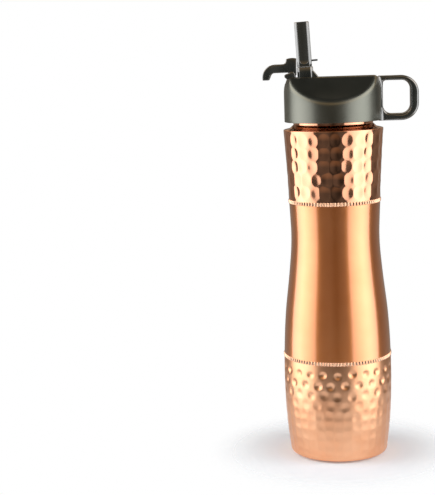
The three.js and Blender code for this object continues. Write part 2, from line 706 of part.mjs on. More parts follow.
// Side view: the cam stands over the hinge, and the arm runs out to a downturned hook.
function leverShape() {
  const camLeft = -3.9;
  const camRight = 3.1;
  const armTop = 7.7;
  const armBottom = 1.7;
  const shape = new THREE.Shape();
  shape.moveTo(camRight, 0);
  shape.lineTo(camRight, Math.sqrt(LEVER_REACH ** 2 - camRight ** 2));
  shape.absarc(0, 0, LEVER_REACH, Math.acos(camRight / LEVER_REACH), Math.acos(camLeft / LEVER_REACH), false);
  shape.quadraticCurveTo(camLeft - 0.6, armTop, camLeft - 4, armTop);
  shape.lineTo(HOOK_X, armTop);
  shape.absarc(HOOK_X, HOOK_Z, HOOK_R, Math.PI / 2, Math.PI, false);
  shape.lineTo(-20.8, -2.7);
  shape.quadraticCurveTo(-20.6, -3.1, -20.2, -3.1);
  shape.lineTo(-17, -3.1);
  shape.quadraticCurveTo(-15.6, -2.8, -15, -0.6);
  shape.quadraticCurveTo(-14.2, armBottom, -11.5, armBottom);
  shape.lineTo(-3, armBottom);
  shape.absarc(0, 0, LEVER_BARREL_R, 0.8 * Math.PI, 1.75 * Math.PI, false);
  shape.closePath();
  return shape;
}

// Plan view: narrow between the ears, wider at the hook.
function leverPlan() {
  const wide = LEVER_TIP_HALF;
  const plan = new THREE.Shape();
  plan.moveTo(5, -LEVER_HALF);
  plan.lineTo(5, LEVER_HALF);
  plan.lineTo(-8, LEVER_HALF);
  plan.quadraticCurveTo(-11, LEVER_HALF, -13, 6.1);
  plan.quadraticCurveTo(-15, wide, -23, wide);
  plan.lineTo(-23, -wide);
  plan.quadraticCurveTo(-15, -wide, -13, -6.1);
  plan.quadraticCurveTo(-11, -LEVER_HALF, -8, -LEVER_HALF);
  plan.closePath();
  return plan;
}

function lockLever() {
  const side = solid(prismY(leverShape(), LEVER_TIP_HALF));
  const options = { depth: 30, bevelEnabled: false, curveSegments: 5 };
  const plan = new THREE.ExtrudeGeometry(leverPlan(), options).translate(0, 0, -10);
  const pinHole = solid(rodY(LEVER_PIN_R + GAP, -8, 8));
  return fromSolid(side.intersect(solid(plan)).subtract(pinHole));
}

addPiece('lock_lever', lockLever(), glossBlack, lever);

export default bottle;
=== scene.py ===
import json
import math

import bmesh
import bpy
import numpy as np
from bpy.props import FloatProperty, IntProperty, PointerProperty, StringProperty
from mathutils import Matrix, Vector


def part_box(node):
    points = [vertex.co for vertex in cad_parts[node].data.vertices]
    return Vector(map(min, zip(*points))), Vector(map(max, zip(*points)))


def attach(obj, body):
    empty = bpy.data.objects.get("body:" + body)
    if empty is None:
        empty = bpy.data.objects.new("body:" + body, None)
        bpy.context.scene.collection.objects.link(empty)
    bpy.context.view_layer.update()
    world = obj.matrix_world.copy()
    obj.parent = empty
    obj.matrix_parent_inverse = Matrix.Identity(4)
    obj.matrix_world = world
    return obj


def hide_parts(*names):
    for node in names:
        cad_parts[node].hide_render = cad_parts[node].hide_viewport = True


bl_info = {
    "name": "Copper water bottle",
    "version": (1, 0, 0),
    "blender": (4, 5, 0),
    "location": "3D View > Sidebar > Copper bottle",
    "description": "Builds a hammered copper water bottle with a black spout lid around its packed frame",
    "category": "Object",
}

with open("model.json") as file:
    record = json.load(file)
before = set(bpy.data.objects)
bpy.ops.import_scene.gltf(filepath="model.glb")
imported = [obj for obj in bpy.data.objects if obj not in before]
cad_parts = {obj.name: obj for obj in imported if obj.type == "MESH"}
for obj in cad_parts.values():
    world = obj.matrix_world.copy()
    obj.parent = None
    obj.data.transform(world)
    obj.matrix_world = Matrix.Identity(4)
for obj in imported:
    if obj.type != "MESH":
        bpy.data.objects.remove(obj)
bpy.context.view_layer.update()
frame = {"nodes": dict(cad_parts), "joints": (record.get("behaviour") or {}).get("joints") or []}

MM = 0.001


# ------------------------------------------------------------------ places read from the frame

def joint_place(name):
    """Where a joint's axis stands."""
    return next(Vector(j["pos_m"]) for j in frame["joints"] if j["name"] == name)


def outer_profile(*nodes):
    """Heights and outer radii of turned CAD pieces, from their outermost corners at each height."""
    widest = {}
    for node in nodes:
        for vertex in frame["nodes"][node].data.vertices:
            height = round(vertex.co.z, 5)
            widest[height] = max(widest.get(height, 0.0), math.hypot(vertex.co.x, vertex.co.y))
    heights = np.array(sorted(widest))
    return heights, np.array([widest[height] for height in heights])


BODY_Z, BODY_R = outer_profile("lower_band", "waist_shell", "upper_band")
BODY_SLOPE = np.gradient(BODY_R, BODY_Z)


def body_radius(z):
    """Outer radius of the bottle at heights z, as a smooth curve through the CAD's corners."""
    z = np.clip(np.asarray(z, float), BODY_Z[0], BODY_Z[-1])
    i = np.clip(np.searchsorted(BODY_Z, z) - 1, 0, len(BODY_Z) - 2)
    step = BODY_Z[i + 1] - BODY_Z[i]
    t = (z - BODY_Z[i]) / step
    rise = BODY_R[i] * (1 + 2 * t) * (1 - t) ** 2 + BODY_R[i + 1] * t * t * (3 - 2 * t)
    bend = BODY_SLOPE[i] * t * (1 - t) ** 2 - BODY_SLOPE[i + 1] * t * t * (1 - t)
    return rise + bend * step


HUB = joint_place("spout_fold")
HINGE = joint_place("lever_flip")
LID_LOW, LID_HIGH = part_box("lid_shell")
LID_R = (LID_HIGH.y - LID_LOW.y) / 2
LID_BOTTOM = LID_LOW.z
LOOP_LOW, LOOP_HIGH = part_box("carry_loop")
LID_TOP = 274.7 * MM
SPOUT_LEAN = math.radians(-3)
SPOUT_FRAME = Matrix.Translation(HUB) @ Matrix.Rotation(SPOUT_LEAN, 4, "Y")


# ------------------------------------------------------------------ sizes and colours to change

class BottleSettings(bpy.types.PropertyGroup):
    """Sizes and colours of the finishes."""

    upper_count: IntProperty(
        name="Upper dimples", description="Hammer marks around the upper band", default=26, min=8)
    upper_rows: IntProperty(
        name="Upper rows", description="Rows of hammer marks on the upper band", default=5, min=1)
    upper_depth: FloatProperty(
        name="Upper depth", description="Depth of a hammer mark on the upper band",
        default=0.5 * MM, subtype="DISTANCE", unit="LENGTH")
    lower_count: IntProperty(
        name="Lower dimples", description="Hammer marks around the lower band", default=24, min=8)
    lower_depth: FloatProperty(
        name="Lower depth", description="Depth of the first row of hammer marks on the lower band",
        default=0.75 * MM, subtype="DISTANCE", unit="LENGTH")
    bead_pitch: FloatProperty(
        name="Bead pitch", description="Distance between beads on the trim rings",
        default=2.38 * MM, subtype="DISTANCE", unit="LENGTH")
    copper_polished: StringProperty(
        name="Polished copper", description="sRGB colour of the polished band", default="F6B490")
    copper_satin: StringProperty(
        name="Satin copper", description="sRGB colour of the satin waist", default="FAA364")
    black_satin: StringProperty(
        name="Satin black", description="sRGB colour of the lid", default="7C7D75")
    black_gloss: StringProperty(
        name="Gloss black", description="sRGB colour of the spout, lever and loop", default="30322E")


def settings():
    """The scene's bottle settings."""
    return bpy.context.scene.copper_bottle


# ------------------------------------------------------------------ mesh tools

def add_object(name, vertices, faces, sharp_degrees=180.0):
    """A smooth-shaded mesh object, sharp only along edges steeper than the given angle."""
    mesh = bpy.data.meshes.new(name)
    mesh.from_pydata([tuple(v) for v in vertices], [], faces)
    mesh.validate()
    work = bmesh.new()
    work.from_mesh(mesh)
    bmesh.ops.recalc_face_normals(work, faces=work.faces)
    work.to_mesh(mesh)
    work.free()
    mesh.shade_smooth()
    if sharp_degrees < 180:
        mesh.set_sharp_from_angle(angle=math.radians(sharp_degrees))
    obj = bpy.data.objects.new(name, mesh)
    bpy.context.scene.collection.objects.link(obj)
    return obj


def ring_faces(rings, around, closed_along=False):
    """Quads between successive rings of points."""
    faces = []
    last = rings if closed_along else rings - 1
    for i in range(last):
        a = i * around
        b = (i + 1) % rings * around
        for k in range(around):
            n = (k + 1) % around
            faces.append((a + k, a + n, b + n, b + k))
    return faces


def skinned(name, rings, sharp_degrees=180.0, closed=False):
    """Skins a row of rings with as many points each. The end rings are capped, unless the row is
    closed and its last ring joins its first."""
    count = len(rings[0])
    faces = ring_faces(len(rings), count, closed)
    if not closed:
        faces += [tuple(range(count)), tuple(range((len(rings) - 1) * count, len(rings) * count))]
    return add_object(name, [point for ring in rings for point in ring], faces, sharp_degrees)


def fillet(points, radii, steps=6):
    """A polyline whose inner corners are rounded with arcs."""
    out = [points[0]]
    for before, corner, after, radius in zip(points, points[1:], points[2:], radii):
        a = Vector(before) - Vector(corner)
        b = Vector(after) - Vector(corner)
        if radius <= 0 or a.length < 1e-9 or b.length < 1e-9:
            out.append(corner)
            continue
        half = a.angle(b) / 2
        run = min(radius / math.tan(half), 0.49 * a.length, 0.49 * b.length)
        start = Vector(corner) + a.normalized() * run
        end = Vector(corner) + b.normalized() * run
        for i in range(steps + 1):
            t = i / steps
            out.append(tuple(start.lerp(Vector(corner), t).lerp(Vector(corner).lerp(end, t), t)))
    out.append(points[-1])
    return out


def turned(name, outline, around=160, sharp_degrees=180.0):
    """Turns an open outline of (radius, height) about +Z. Ends on the axis become caps."""
    angles = np.linspace(0, 2 * math.pi, around, endpoint=False)
    vertices = []
    for radius, height in outline:
        r = max(radius, 1e-6)
        vertices += [(r * math.cos(a), r * math.sin(a), height) for a in angles]
    faces = ring_faces(len(outline), around)
    if outline[0][0] == 0:
        faces.append(tuple(range(around)))
    if outline[-1][0] == 0:
        faces.append(tuple(range((len(outline) - 1) * around, len(outline) * around)))
    return add_object(name, vertices, faces, sharp_degrees)


def turned_ring(name, outline, around=160, sharp_degrees=35.0):
    """Turns a closed outline of (radius, height) about +Z."""
    angles = np.linspace(0, 2 * math.pi, around, endpoint=False)
    rings = [[(r * math.cos(a), r * math.sin(a), z) for a in angles] for r, z in outline]
    return skinned(name, rings, sharp_degrees, True)


def arc(centre, radius, start, end, steps):
    """Points on an arc, with angles in degrees."""
    angles = np.radians(np.linspace(start, end, steps + 1))
    return [(centre[0] + radius * math.cos(a), centre[1] + radius * math.sin(a)) for a in angles]


def inset_outline(outline, distance):
    """Moves every point of a closed anticlockwise outline inwards."""
    points = np.array(outline)
    ahead = np.roll(points, -1, 0) - points
    behind = points - np.roll(points, 1, 0)
    ahead /= np.linalg.norm(ahead, axis=1)[:, None]
    behind /= np.linalg.norm(behind, axis=1)[:, None]
    tangent = ahead + behind
    tangent /= np.linalg.norm(tangent, axis=1)[:, None]
    normal = np.stack([-tangent[:, 1], tangent[:, 0]], 1)
    return points + normal * distance


def soft_prism(name, outline, half, rounding, steps=4, sharp_degrees=40.0):
    """Extrudes a closed outline in X and Z along Y, with rounded edges. half may vary with (x, z)."""
    points = np.array(outline, float)
    x, z = points[:, 0], points[:, 1]
    area = 0.5 * np.sum(x * np.roll(z, -1) - np.roll(x, -1) * z)
    if area < 0:
        points = points[::-1]
    width = half if callable(half) else (lambda px, pz: half)
    halves = np.array([width(px, pz) for px, pz in points])
    rings = []
    for side in (-1, 1):
        angles = np.linspace(0, math.pi / 2, steps + 1)
        for a in angles if side < 0 else angles[::-1]:
            moved = inset_outline(points, rounding * (1 - math.sin(a)))
            y = side * (halves - rounding * (1 - math.cos(a)))
            rings.append(np.stack([moved[:, 0], y, moved[:, 1]], 1))
    return skinned(name, rings, sharp_degrees)


def round_rod(name, radius, start, end, place, axis="Y", rounding=0.25 * MM):
    """A short pin with rounded ends along an axis."""
    outline = [(0, start), (radius, start), (radius, end), (0, end)]
    rod = turned(name, fillet(outline, (rounding, rounding), 4), 40)
    if axis == "Y":
        rod.data.transform(Matrix.Rotation(math.radians(-90), 4, "X"))
    if axis == "X":
        rod.data.transform(Matrix.Rotation(math.radians(90), 4, "Y"))
    rod.data.transform(Matrix.Translation(place))
    return rod


def combine(target, tool, operation):
    """Joins, cuts or intersects the target with a tool, which is then removed."""
    modifier = target.modifiers.new(operation, "BOOLEAN")
    modifier.operation = operation
    modifier.solver = "EXACT"
    modifier.object = tool
    graph = bpy.context.evaluated_depsgraph_get()
    result = bpy.data.meshes.new_from_object(target.evaluated_get(graph))
    target.modifiers.clear()
    target.data = result
    bpy.data.objects.remove(tool)
    return target


def set_sharp(obj, degrees):
    """Smooth shading, sharp only along edges steeper than the given angle."""
    obj.data.shade_smooth()
    obj.data.set_sharp_from_angle(angle=math.radians(degrees))


def finish_piece(obj, body, slot, material, *nodes):
    """Gives a piece its finish, its body and the CAD nodes that it stands for."""
    obj.data.materials.clear()
    obj.data.materials.append(material)
    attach(obj, body)
    if nodes:
        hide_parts(*nodes)
    return obj


# ------------------------------------------------------------------ materials

def linear(hex_colour):
    """An sRGB hex colour as the linear RGBA that Blender's sockets take."""
    channels = [int(hex_colour[i:i + 2], 16) / 255 for i in (0, 2, 4)]
    return [c / 12.92 if c <= 0.04045 else ((c + 0.055) / 1.055) ** 2.4 for c in channels] + [1.0]


def add_node(tree, kind, values=None, links=None, stops=(), **options):
    """Adds a node, sets its options, socket values and colour stops, and links sockets to outputs."""
    node = tree.nodes.new(kind)
    for key, value in options.items():
        setattr(node, key, value)
    for key, value in (values or {}).items():
        node.inputs[key].default_value = value
    for key, source in (links or {}).items():
        tree.links.new(source, node.inputs[key])
    if stops:
        elements = node.color_ramp.elements
        while len(elements) < len(stops):
            elements.new(0.5)
        for element, (position, colour) in zip(elements, stops):
            element.position = position
            element.color = (*colour[:3], 1.0)
    return node


def empty_tree(owner):
    """The cleared node tree of a material, lamp or world."""
    owner.use_nodes = True
    owner.node_tree.nodes.clear()
    return owner.node_tree


def surface(name, noises, rough, tones, bump=None, shader=None, brushed_around=False):
    """A material whose roughness, tone and bump each follow one of its noises.

    noises gives each noise its size in mm, its detail and, where it is drawn out, its stretch.
    rough names a noise and the range of roughness, tones a noise and two close sRGB colours, and
    bump a noise, a strength and a depth in mm. shader holds the values that are the same all over.
    """
    material = bpy.data.materials.get(name)
    if material:
        return material
    material = bpy.data.materials.new(name)
    tree = empty_tree(material)
    place = add_node(tree, "ShaderNodeTexCoord").outputs["Object"]
    drift = {}
    for key, (size, detail, *stretch) in noises.items():
        at = place
        if stretch:
            drawn_out = add_node(tree, "ShaderNodeMapping", {"Scale": stretch[0]}, {"Vector": place})
            at = drawn_out.outputs["Vector"]
        values = {"Scale": 1 / (size * MM), "Detail": detail}
        drift[key] = add_node(tree, "ShaderNodeTexNoise", values, {"Vector": at}).outputs["Fac"]
    follows, smoothest, roughest = rough
    roughness = add_node(tree, "ShaderNodeMapRange", {"To Min": smoothest, "To Max": roughest},
                         {"Value": drift[follows]})
    follows, first, second = tones
    colour = add_node(tree, "ShaderNodeValToRGB", links={"Fac": drift[follows]},
                      stops=((0.3, linear(first)), (0.7, linear(second))))
    links = {"Base Color": colour.outputs["Color"], "Roughness": roughness.outputs["Result"]}
    if bump:
        follows, strength, depth = bump
        raised = add_node(tree, "ShaderNodeBump", {"Strength": strength, "Distance": depth * MM},
                          {"Height": drift[follows]})
        links["Normal"] = raised.outputs["Normal"]
    if brushed_around:
        around = add_node(tree, "ShaderNodeTangent", direction_type="RADIAL", axis="Z")
        links["Tangent"] = around.outputs["Tangent"]
    principled = add_node(tree, "ShaderNodeBsdfPrincipled", shader, links)
    add_node(tree, "ShaderNodeOutputMaterial", links={"Surface": principled.outputs["BSDF"]})
    return material


def polished_hammered_copper():
    # Copper sheet, hammered over a stake, polished and lacquered: clear, slightly warm reflections
    # broken by the dimples, with faint wipe marks in the lacquer.
    return surface(
        "polished_hammered_copper", {"patches": (9, 2.0), "wipes": (1.1, 3.0)},
        rough=("patches", 0.07, 0.15), tones=("patches", "F2AD88", settings().copper_polished),
        bump=("wipes", 0.12, 0.03), shader={"Metallic": 1.0})


def satin_spun_copper():
    # Copper sheet, spun and brushed around its axis, then lacquered: soft-edged bands of light.
    # Real brush lines are finer. These are about 0.25 mm apart, so that they show.
    return surface(
        "satin_spun_copper", {"lines": (0.5, 4.0, (0.05, 0.05, 1.0)), "patches": (22, 2.0)},
        rough=("lines", 0.34, 0.42), tones=("patches", "F49A59", settings().copper_satin),
        bump=("lines", 0.15, 0.03), brushed_around=True,
        shader={"Metallic": 1.0, "Anisotropic": 0.9, "Anisotropic Rotation": 0.25,
                "Coat Weight": 1.0, "Coat Roughness": 0.12, "Coat IOR": 1.9})


def rolled_beaded_copper():
    # Copper wire rolled in a beading wheel, and tumbled: softer than polish, bright on each bead.
    return surface(
        "rolled_beaded_copper", {"grain": (1, 2.0)},
        rough=("grain", 0.2, 0.3), tones=("grain", "F8C09C", "FFD2B2"), shader={"Metallic": 1.0})


def satin_hammered_copper():
    # The same sheet, hammered and then bead-blasted: an even pale bloom. Its grain of 0.4 mm is
    # coarser than blasting leaves, so that it shows.
    return surface(
        "satin_hammered_copper", {"grain": (0.8, 4.0), "patches": (14, 2.0)},
        rough=("grain", 0.26, 0.33), tones=("patches", "F8B488", "FDC096"),
        bump=("grain", 0.12, 0.04), shader={"Metallic": 1.0})


def satin_metallic_lacquer():
    # Moulded ABS with a satin gun-metal lacquer: dark where nothing shines on it, with broad
    # grey-green highlights and a fine moulded grain of 0.3 mm.
    return surface(
        "satin_black_lacquered_abs", {"grain": (0.6, 3.0), "patches": (18, 2.0)},
        rough=("patches", 0.30, 0.38), tones=("patches", "74766E", settings().black_satin),
        bump=("grain", 0.1, 0.03), shader={"Metallic": 1.0})


def gloss_black_abs():
    # ABS moulded in a polished tool: deep black with clear highlights along its edges, and the
    # faint flow waviness of moulded plastic, about 6 mm long.
    return surface(
        "gloss_black_abs", {"waves": (12, 1.0)},
        rough=("waves", 0.13, 0.22), tones=("waves", "282A26", settings().black_gloss),
        bump=("waves", 0.15, 0.1),
        shader={"IOR": 1.8, "Coat Weight": 1.0, "Coat Roughness": 0.05, "Coat IOR": 1.8,
                "Specular IOR Level": 0.9})


def moulded_silicone():
    # Silicone rubber from a blasted tool: dark grey, matt, with a 0.3 mm grain.
    return surface(
        "moulded_silicone", {"grain": (0.6, 2.0)},
        rough=("grain", 0.55, 0.72), tones=("grain", "2C2C2B", "353534"),
        bump=("grain", 0.2, 0.04), shader={"IOR": 1.41})


def extruded_polypropylene():
    # Drawn polypropylene tube: milky white with die lines along it, 0.4 mm apart.
    return surface(
        "extruded_polypropylene", {"lines": (0.8, 2.0, (1.0, 1.0, 0.02))},
        rough=("lines", 0.3, 0.42), tones=("lines", "DEDDD6", "E8E7E1"),
        shader={"IOR": 1.49, "Subsurface Weight": 0.1})


def drawn_steel_wire():
    # Stainless wire cut to length. Its draw marks along the pin are about 0.2 mm apart, which is
    # coarser than real ones, so that they show.
    return surface(
        "drawn_steel_wire", {"lines": (0.4, 2.0, (1.0, 0.05, 1.0))},
        rough=("lines", 0.2, 0.34), tones=("lines", "B9BABC", "C8C9CB"), shader={"Metallic": 1.0})


# ------------------------------------------------------------------ hammered sheet

def band_shell(name, low, high, around, steps, depth_at, wall):
    """A copper band between two heights. depth_at(angle, height) sinks the outside."""
    heights = np.linspace(low, high, steps + 1)
    angles = np.linspace(0, 2 * math.pi, around, endpoint=False)
    angle_grid, height_grid = np.meshgrid(angles, heights)
    radius = body_radius(height_grid) - depth_at(angle_grid, height_grid)
    inner_angle, inner_height = np.meshgrid(angles, heights[::-max(1, steps // 12)])
    inner_radius = body_radius(inner_height) - wall
    radius = np.vstack([radius, inner_radius])
    angle_grid = np.vstack([angle_grid, inner_angle])
    height_grid = np.vstack([height_grid, inner_height])
    rings = np.stack([radius * np.cos(angle_grid), radius * np.sin(angle_grid), height_grid], 2)
    return skinned(name, rings, 60.0, True)


def angle_gap(a, b):
    """Signed difference of two angles."""
    return (a - b + math.pi) % (2 * math.pi) - math.pi


def sunk(marks, angle, height, power, gather):
    """Depth of oval bowls, each given by its angle, height, half width, half height and strength."""
    mean_radius = body_radius(height)
    total = np.zeros_like(angle)
    for mark_angle, mark_height, wide, tall, strength in marks:
        across = angle_gap(angle, mark_angle) * mean_radius / wide
        along = (height - mark_height) / tall
        bowl = np.clip(1 - across ** 2 - along ** 2, 0, None)
        total = gather(total, strength * bowl ** power)
    return total


def upper_hammering(low, high):
    """Rows of oval bowls, nearly in columns, with soft ridges of sheet left between them."""
    chosen = settings()
    draw = np.random.default_rng(11)
    pitch = 9.15 * MM
    first = high - 5.7 * MM
    calm_edge = 1.2 * MM
    spacing = 2 * math.pi / chosen.upper_count
    row_shift = (0.72, 0.67, 0.61, 0.9, 0.74)
    marks = []
    for row in range(chosen.upper_rows):
        for i in range(chosen.upper_count):
            angle = (i + row_shift[row % len(row_shift)] + draw.normal(0, 0.07)) * spacing
            height = first - row * pitch + draw.normal(0, 0.25) * MM
            strength, size = draw.uniform(0.65, 1.3), draw.uniform(0.92, 1.1)
            marks.append((angle, height, 4.5 * MM * size, 5.2 * MM * size, strength))

    def depth(angle, height):
        edge = np.clip(np.minimum(height - low, high - height) / calm_edge, 0, 1)
        return chosen.upper_depth * sunk(marks, angle, height, 1.5, np.maximum) * edge * (2 - edge)

    return depth


def lower_hammering(low, high):
    """Deep round marks below the ring, then larger and shallower ones that run together, and close
    flutes towards the foot."""
    chosen = settings()
    draw = np.random.default_rng(5)
    pitch = 7.5 * MM
    first = high - 7.6 * MM
    calm_edge = 2.5 * MM
    rows = int((first - low) / pitch) + 1
    round_rows = 4
    row_strength = (1.1, 1.1, 0.65, 0.42, 0.4, 0.4)
    marks = []
    for row in range(rows):
        fluted = row >= round_rows
        count = chosen.lower_count * 3 // 2 if fluted else chosen.lower_count
        shift = 0.0 if fluted else 0.5 * (row % 2)
        growth = min(row, round_rows) / round_rows
        wide = (3.4 + 0.6 * growth) * MM
        tall = (3.1 + 1.6 * growth) * MM
        for i in range(count):
            angle = (i + shift + draw.normal(0, 0.05)) * 2 * math.pi / count
            height = first - row * pitch + draw.normal(0, 0.35) * MM
            strength = row_strength[min(row, len(row_strength) - 1)] * draw.uniform(0.8, 1.15)
            marks.append((angle, height, wide, tall, strength))

    def depth(angle, height):
        edge = np.clip(np.minimum(height - low, high - height) / calm_edge, 0, 1)
        return chosen.lower_depth * sunk(marks, angle, height, 1.9, np.add) * edge

    return depth


def smooth_sheet(angle, height):
    """No marks at all, for the waist."""
    return np.zeros_like(angle)


# The hammered bands are drawn thicker than their sheet, so that no mark breaks through.
SEAM = 0.3 * MM
SHEET = 0.7 * MM
HAMMERED_SHEET = 1.6 * MM
BEAD_FACETS = 14
BEAD_GROOVE = 0.2 * MM


class BOTTLE_OT_shells(bpy.types.Operator):
    """Makes the hammered bands and the satin waist."""

    bl_idname = "copper_bottle.shells"
    bl_label = "Bands and waist"

    def execute(self, context):
        lower_ring, upper_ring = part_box("lower_bead_ring"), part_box("upper_bead_ring")
        low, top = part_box("lower_band")[0].z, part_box("upper_band")[1].z
        first, second = lower_ring[0].z + SEAM, lower_ring[1].z - SEAM
        third, fourth = upper_ring[0].z + SEAM, upper_ring[1].z - SEAM
        lower = band_shell(
            "lower_band_hammered", low, first, 480, 130, lower_hammering(low, first), HAMMERED_SHEET)
        waist = band_shell("waist_satin", second, third, 192, 60, smooth_sheet, SHEET)
        upper = band_shell(
            "upper_band_hammered", fourth, top, 624, 120, upper_hammering(fourth, top), HAMMERED_SHEET)
        finish_piece(lower, "bottle", "satin_copper", satin_hammered_copper(), "lower_band")
        finish_piece(waist, "bottle", "satin_copper", satin_spun_copper(), "waist_shell")
        finish_piece(upper, "bottle", "polished_copper", polished_hammered_copper(), "upper_band")
        return {"FINISHED"}


class BOTTLE_OT_rings(bpy.types.Operator):
    """Makes the two beaded trim rings."""

    bl_idname = "copper_bottle.rings"
    bl_label = "Bead rings"

    def execute(self, context):
        for node in ("lower_bead_ring", "upper_bead_ring"):
            low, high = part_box(node)
            ring = self.beaded(node + "_beads", low.z, high.z, high.x)
            finish_piece(ring, "bottle", "satin_copper", rolled_beaded_copper(), node)
        return {"FINISHED"}

    def beaded(self, name, low, high, crest):
        """A ring of round beads in a shallow groove, out to the crest."""
        beads = round(2 * math.pi * crest / settings().bead_pitch)
        around = beads * BEAD_FACETS
        bead_half = 0.4
        angles = np.linspace(0, 2 * math.pi, around, endpoint=False)
        wave = np.abs((np.arange(around) / BEAD_FACETS + 0.5) % 1 - 0.5) / bead_half
        bulge = np.clip(1 - wave ** 2, 0, 1)
        middle = (low + high) / 2
        half = (high - low) / 2 + 0.2 * MM
        outside = float(body_radius(middle))
        groove = outside - BEAD_GROOVE
        inner = outside - HAMMERED_SHEET

        def ring(radius, z):
            return np.stack([radius * np.cos(angles), radius * np.sin(angles), np.full(around, z)], 1)

        rings = []
        for i in range(BEAD_FACETS + 1):
            a = math.pi * (i / BEAD_FACETS - 0.5)
            radius = groove + (crest - groove) * bulge * math.cos(a) ** 0.5
            rings.append(ring(radius, middle + half * math.sin(a)))
        rings += [ring(inner, high), ring(inner, low)]
        return skinned(name, rings, 80.0, True)


class BOTTLE_OT_foot(bpy.types.Operator):
    """Makes the foot with its rolled edge and dished underside."""

    bl_idname = "copper_bottle.foot"
    bl_label = "Foot"

    def execute(self, context):
        low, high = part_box("base_plate")
        seam = high.z + SEAM
        rim = float(body_radius(seam))
        dish_r, foot_r = 24 * MM, 30.6 * MM
        under, over = 1.1 * MM, 1.9 * MM
        outline = fillet([
            (0, under),
            (dish_r, under),
            (dish_r + 2 * MM, low.z),
            (foot_r, low.z),
            (rim - 0.5 * MM, 1.4 * MM),
            (rim, seam),
            (rim - SHEET, seam),
            (rim - HAMMERED_SHEET, 2.2 * MM),
            (foot_r - 0.6 * MM, over),
            (0, over),
        ], (3 * MM, 1.5 * MM, 5 * MM, 2.5 * MM, 0, 0, 1 * MM, 2 * MM), 8)
        foot = turned("foot_rolled", outline, 192, 50.0)
        finish_piece(foot, "bottle", "satin_copper", satin_hammered_copper(), "base_plate")
        return {"FINISHED"}


# Radii are from the bottle's axis and heights from the table.
NECK_R = 28.4 * MM
NECK_WALL = 1.2 * MM
STEP_R = 31.0 * MM
THREAD_LOW = 244 * MM
THREAD_PITCH = 4 * MM
THREAD_TURNS = 1.25
THREAD_HEIGHT = 1.1 * MM


class BOTTLE_OT_neck(bpy.types.Operator):
    """Makes the shoulder and the threaded neck."""

    bl_idname = "copper_bottle.neck"
    bl_label = "Shoulder and neck"

    def execute(self, context):
        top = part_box("upper_band")[1].z
        rim = float(body_radius(top))
        neck_low, neck_top = (corner.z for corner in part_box("threaded_neck"))
        lap = neck_low + SEAM
        step_z = top + 2 * MM
        shoulder = turned_ring("shoulder_pressed", fillet([
            (rim, top),
            (rim, top + 0.9 * MM),
            (STEP_R, step_z),
            (NECK_R, neck_low - 0.2 * MM),
            (NECK_R, lap),
            (NECK_R - SHEET, lap),
            (STEP_R - SHEET, step_z - SHEET),
            (rim - SHEET, top),
        ], (0.8 * MM, 0.8 * MM, 0.6 * MM, 0, 0, 0), 8), 256, 50.0)
        tube = turned_ring("neck_tube", fillet([
            (NECK_R - NECK_WALL, neck_low),
            (NECK_R, neck_low),
            (NECK_R, neck_top),
            (NECK_R - NECK_WALL, neck_top),
        ], (0, 0.4 * MM), 5), 256, 40.0)
        thread = self.thread("neck_thread")
        for piece, node in ((shoulder, "shoulder_ring"), (tube, "threaded_neck"), (thread, "threaded_neck")):
            finish_piece(piece, "bottle", "polished_copper", polished_hammered_copper(), node)
        return {"FINISHED"}

    def thread(self, name):
        """The rolled thread, which grows out of the neck at each end."""
        per_turn, run_out = 128, 16
        steps = int(THREAD_TURNS * per_turn)
        section = (
            (-0.4, -1.3), (0, -1.2), (0.75, -0.75), (1.0, -0.35),
            (1.0, 0.35), (0.75, 0.75), (0, 1.2), (-0.4, 1.3),
        )
        rings = []
        for i in range(steps + 1):
            angle = 2 * math.pi * i / per_turn
            grow = min(1.0, (i + 1) / run_out, (steps - i + 1) / run_out)
            middle = THREAD_LOW + THREAD_PITCH * i / per_turn
            ring = []
            for out, up in section:
                radius = NECK_R + (out * THREAD_HEIGHT * grow if out > 0 else out * MM)
                ring.append((radius * math.cos(angle), radius * math.sin(angle), middle + up * MM))
            rings.append(ring)
        return skinned(name, rings, 50.0)


# ------------------------------------------------------------------ lid

# Heights are from the table, lengths named X from the axis towards the loop, and halves from the
# lid's middle plane. The trough holds the spout, and the pocket and notch hold the lever's root.
BRIDGE_HALF = 12.2 * MM
SCOOP_LOW = 258.3 * MM
SCOOP_HOLLOW = 0.7 * MM
TROUGH_HALF = 7.6 * MM
TROUGH_FLOOR = 257.3 * MM
TROUGH_X = (-25.2 * MM, 32.3 * MM)
SHOULDER_Z = 264 * MM
SHOULDER_CURVE = 24 * MM
POCKET_HALF = 5.1 * MM
POCKET_X = -32 * MM
NOTCH_FLOOR = 270.5 * MM
VENT_R = 1.7 * MM
VENT_ALONG = 23.4 * MM
SKIRT_R = 32.5 * MM
CEILING = 255 * MM


def scoop_height(y):
    """Height of the scooped surface at a distance from the lid's middle plane, slightly hollow."""
    away = (np.abs(y) - BRIDGE_HALF) / (LID_R - BRIDGE_HALF)
    hollow = 4 * SCOOP_HOLLOW * np.clip(away, 0, 1) * (1 - np.clip(away, 0, 1))
    return LID_TOP - (LID_TOP - SCOOP_LOW) * away - hollow


def soft_minimum(a, b, width):
    """The smaller of two heights, with the crossing rounded over about the given width."""
    h = np.clip(width - np.abs(a - b), 0, None) / width
    return np.minimum(a, b) - h * h * width / 4


def side_radius(z):
    """Radius of the lid's side: upright, then curving in towards the top."""
    rise = max(0.0, z - SHOULDER_Z)
    return LID_R - SHOULDER_CURVE + math.sqrt(SHOULDER_CURVE ** 2 - rise ** 2)


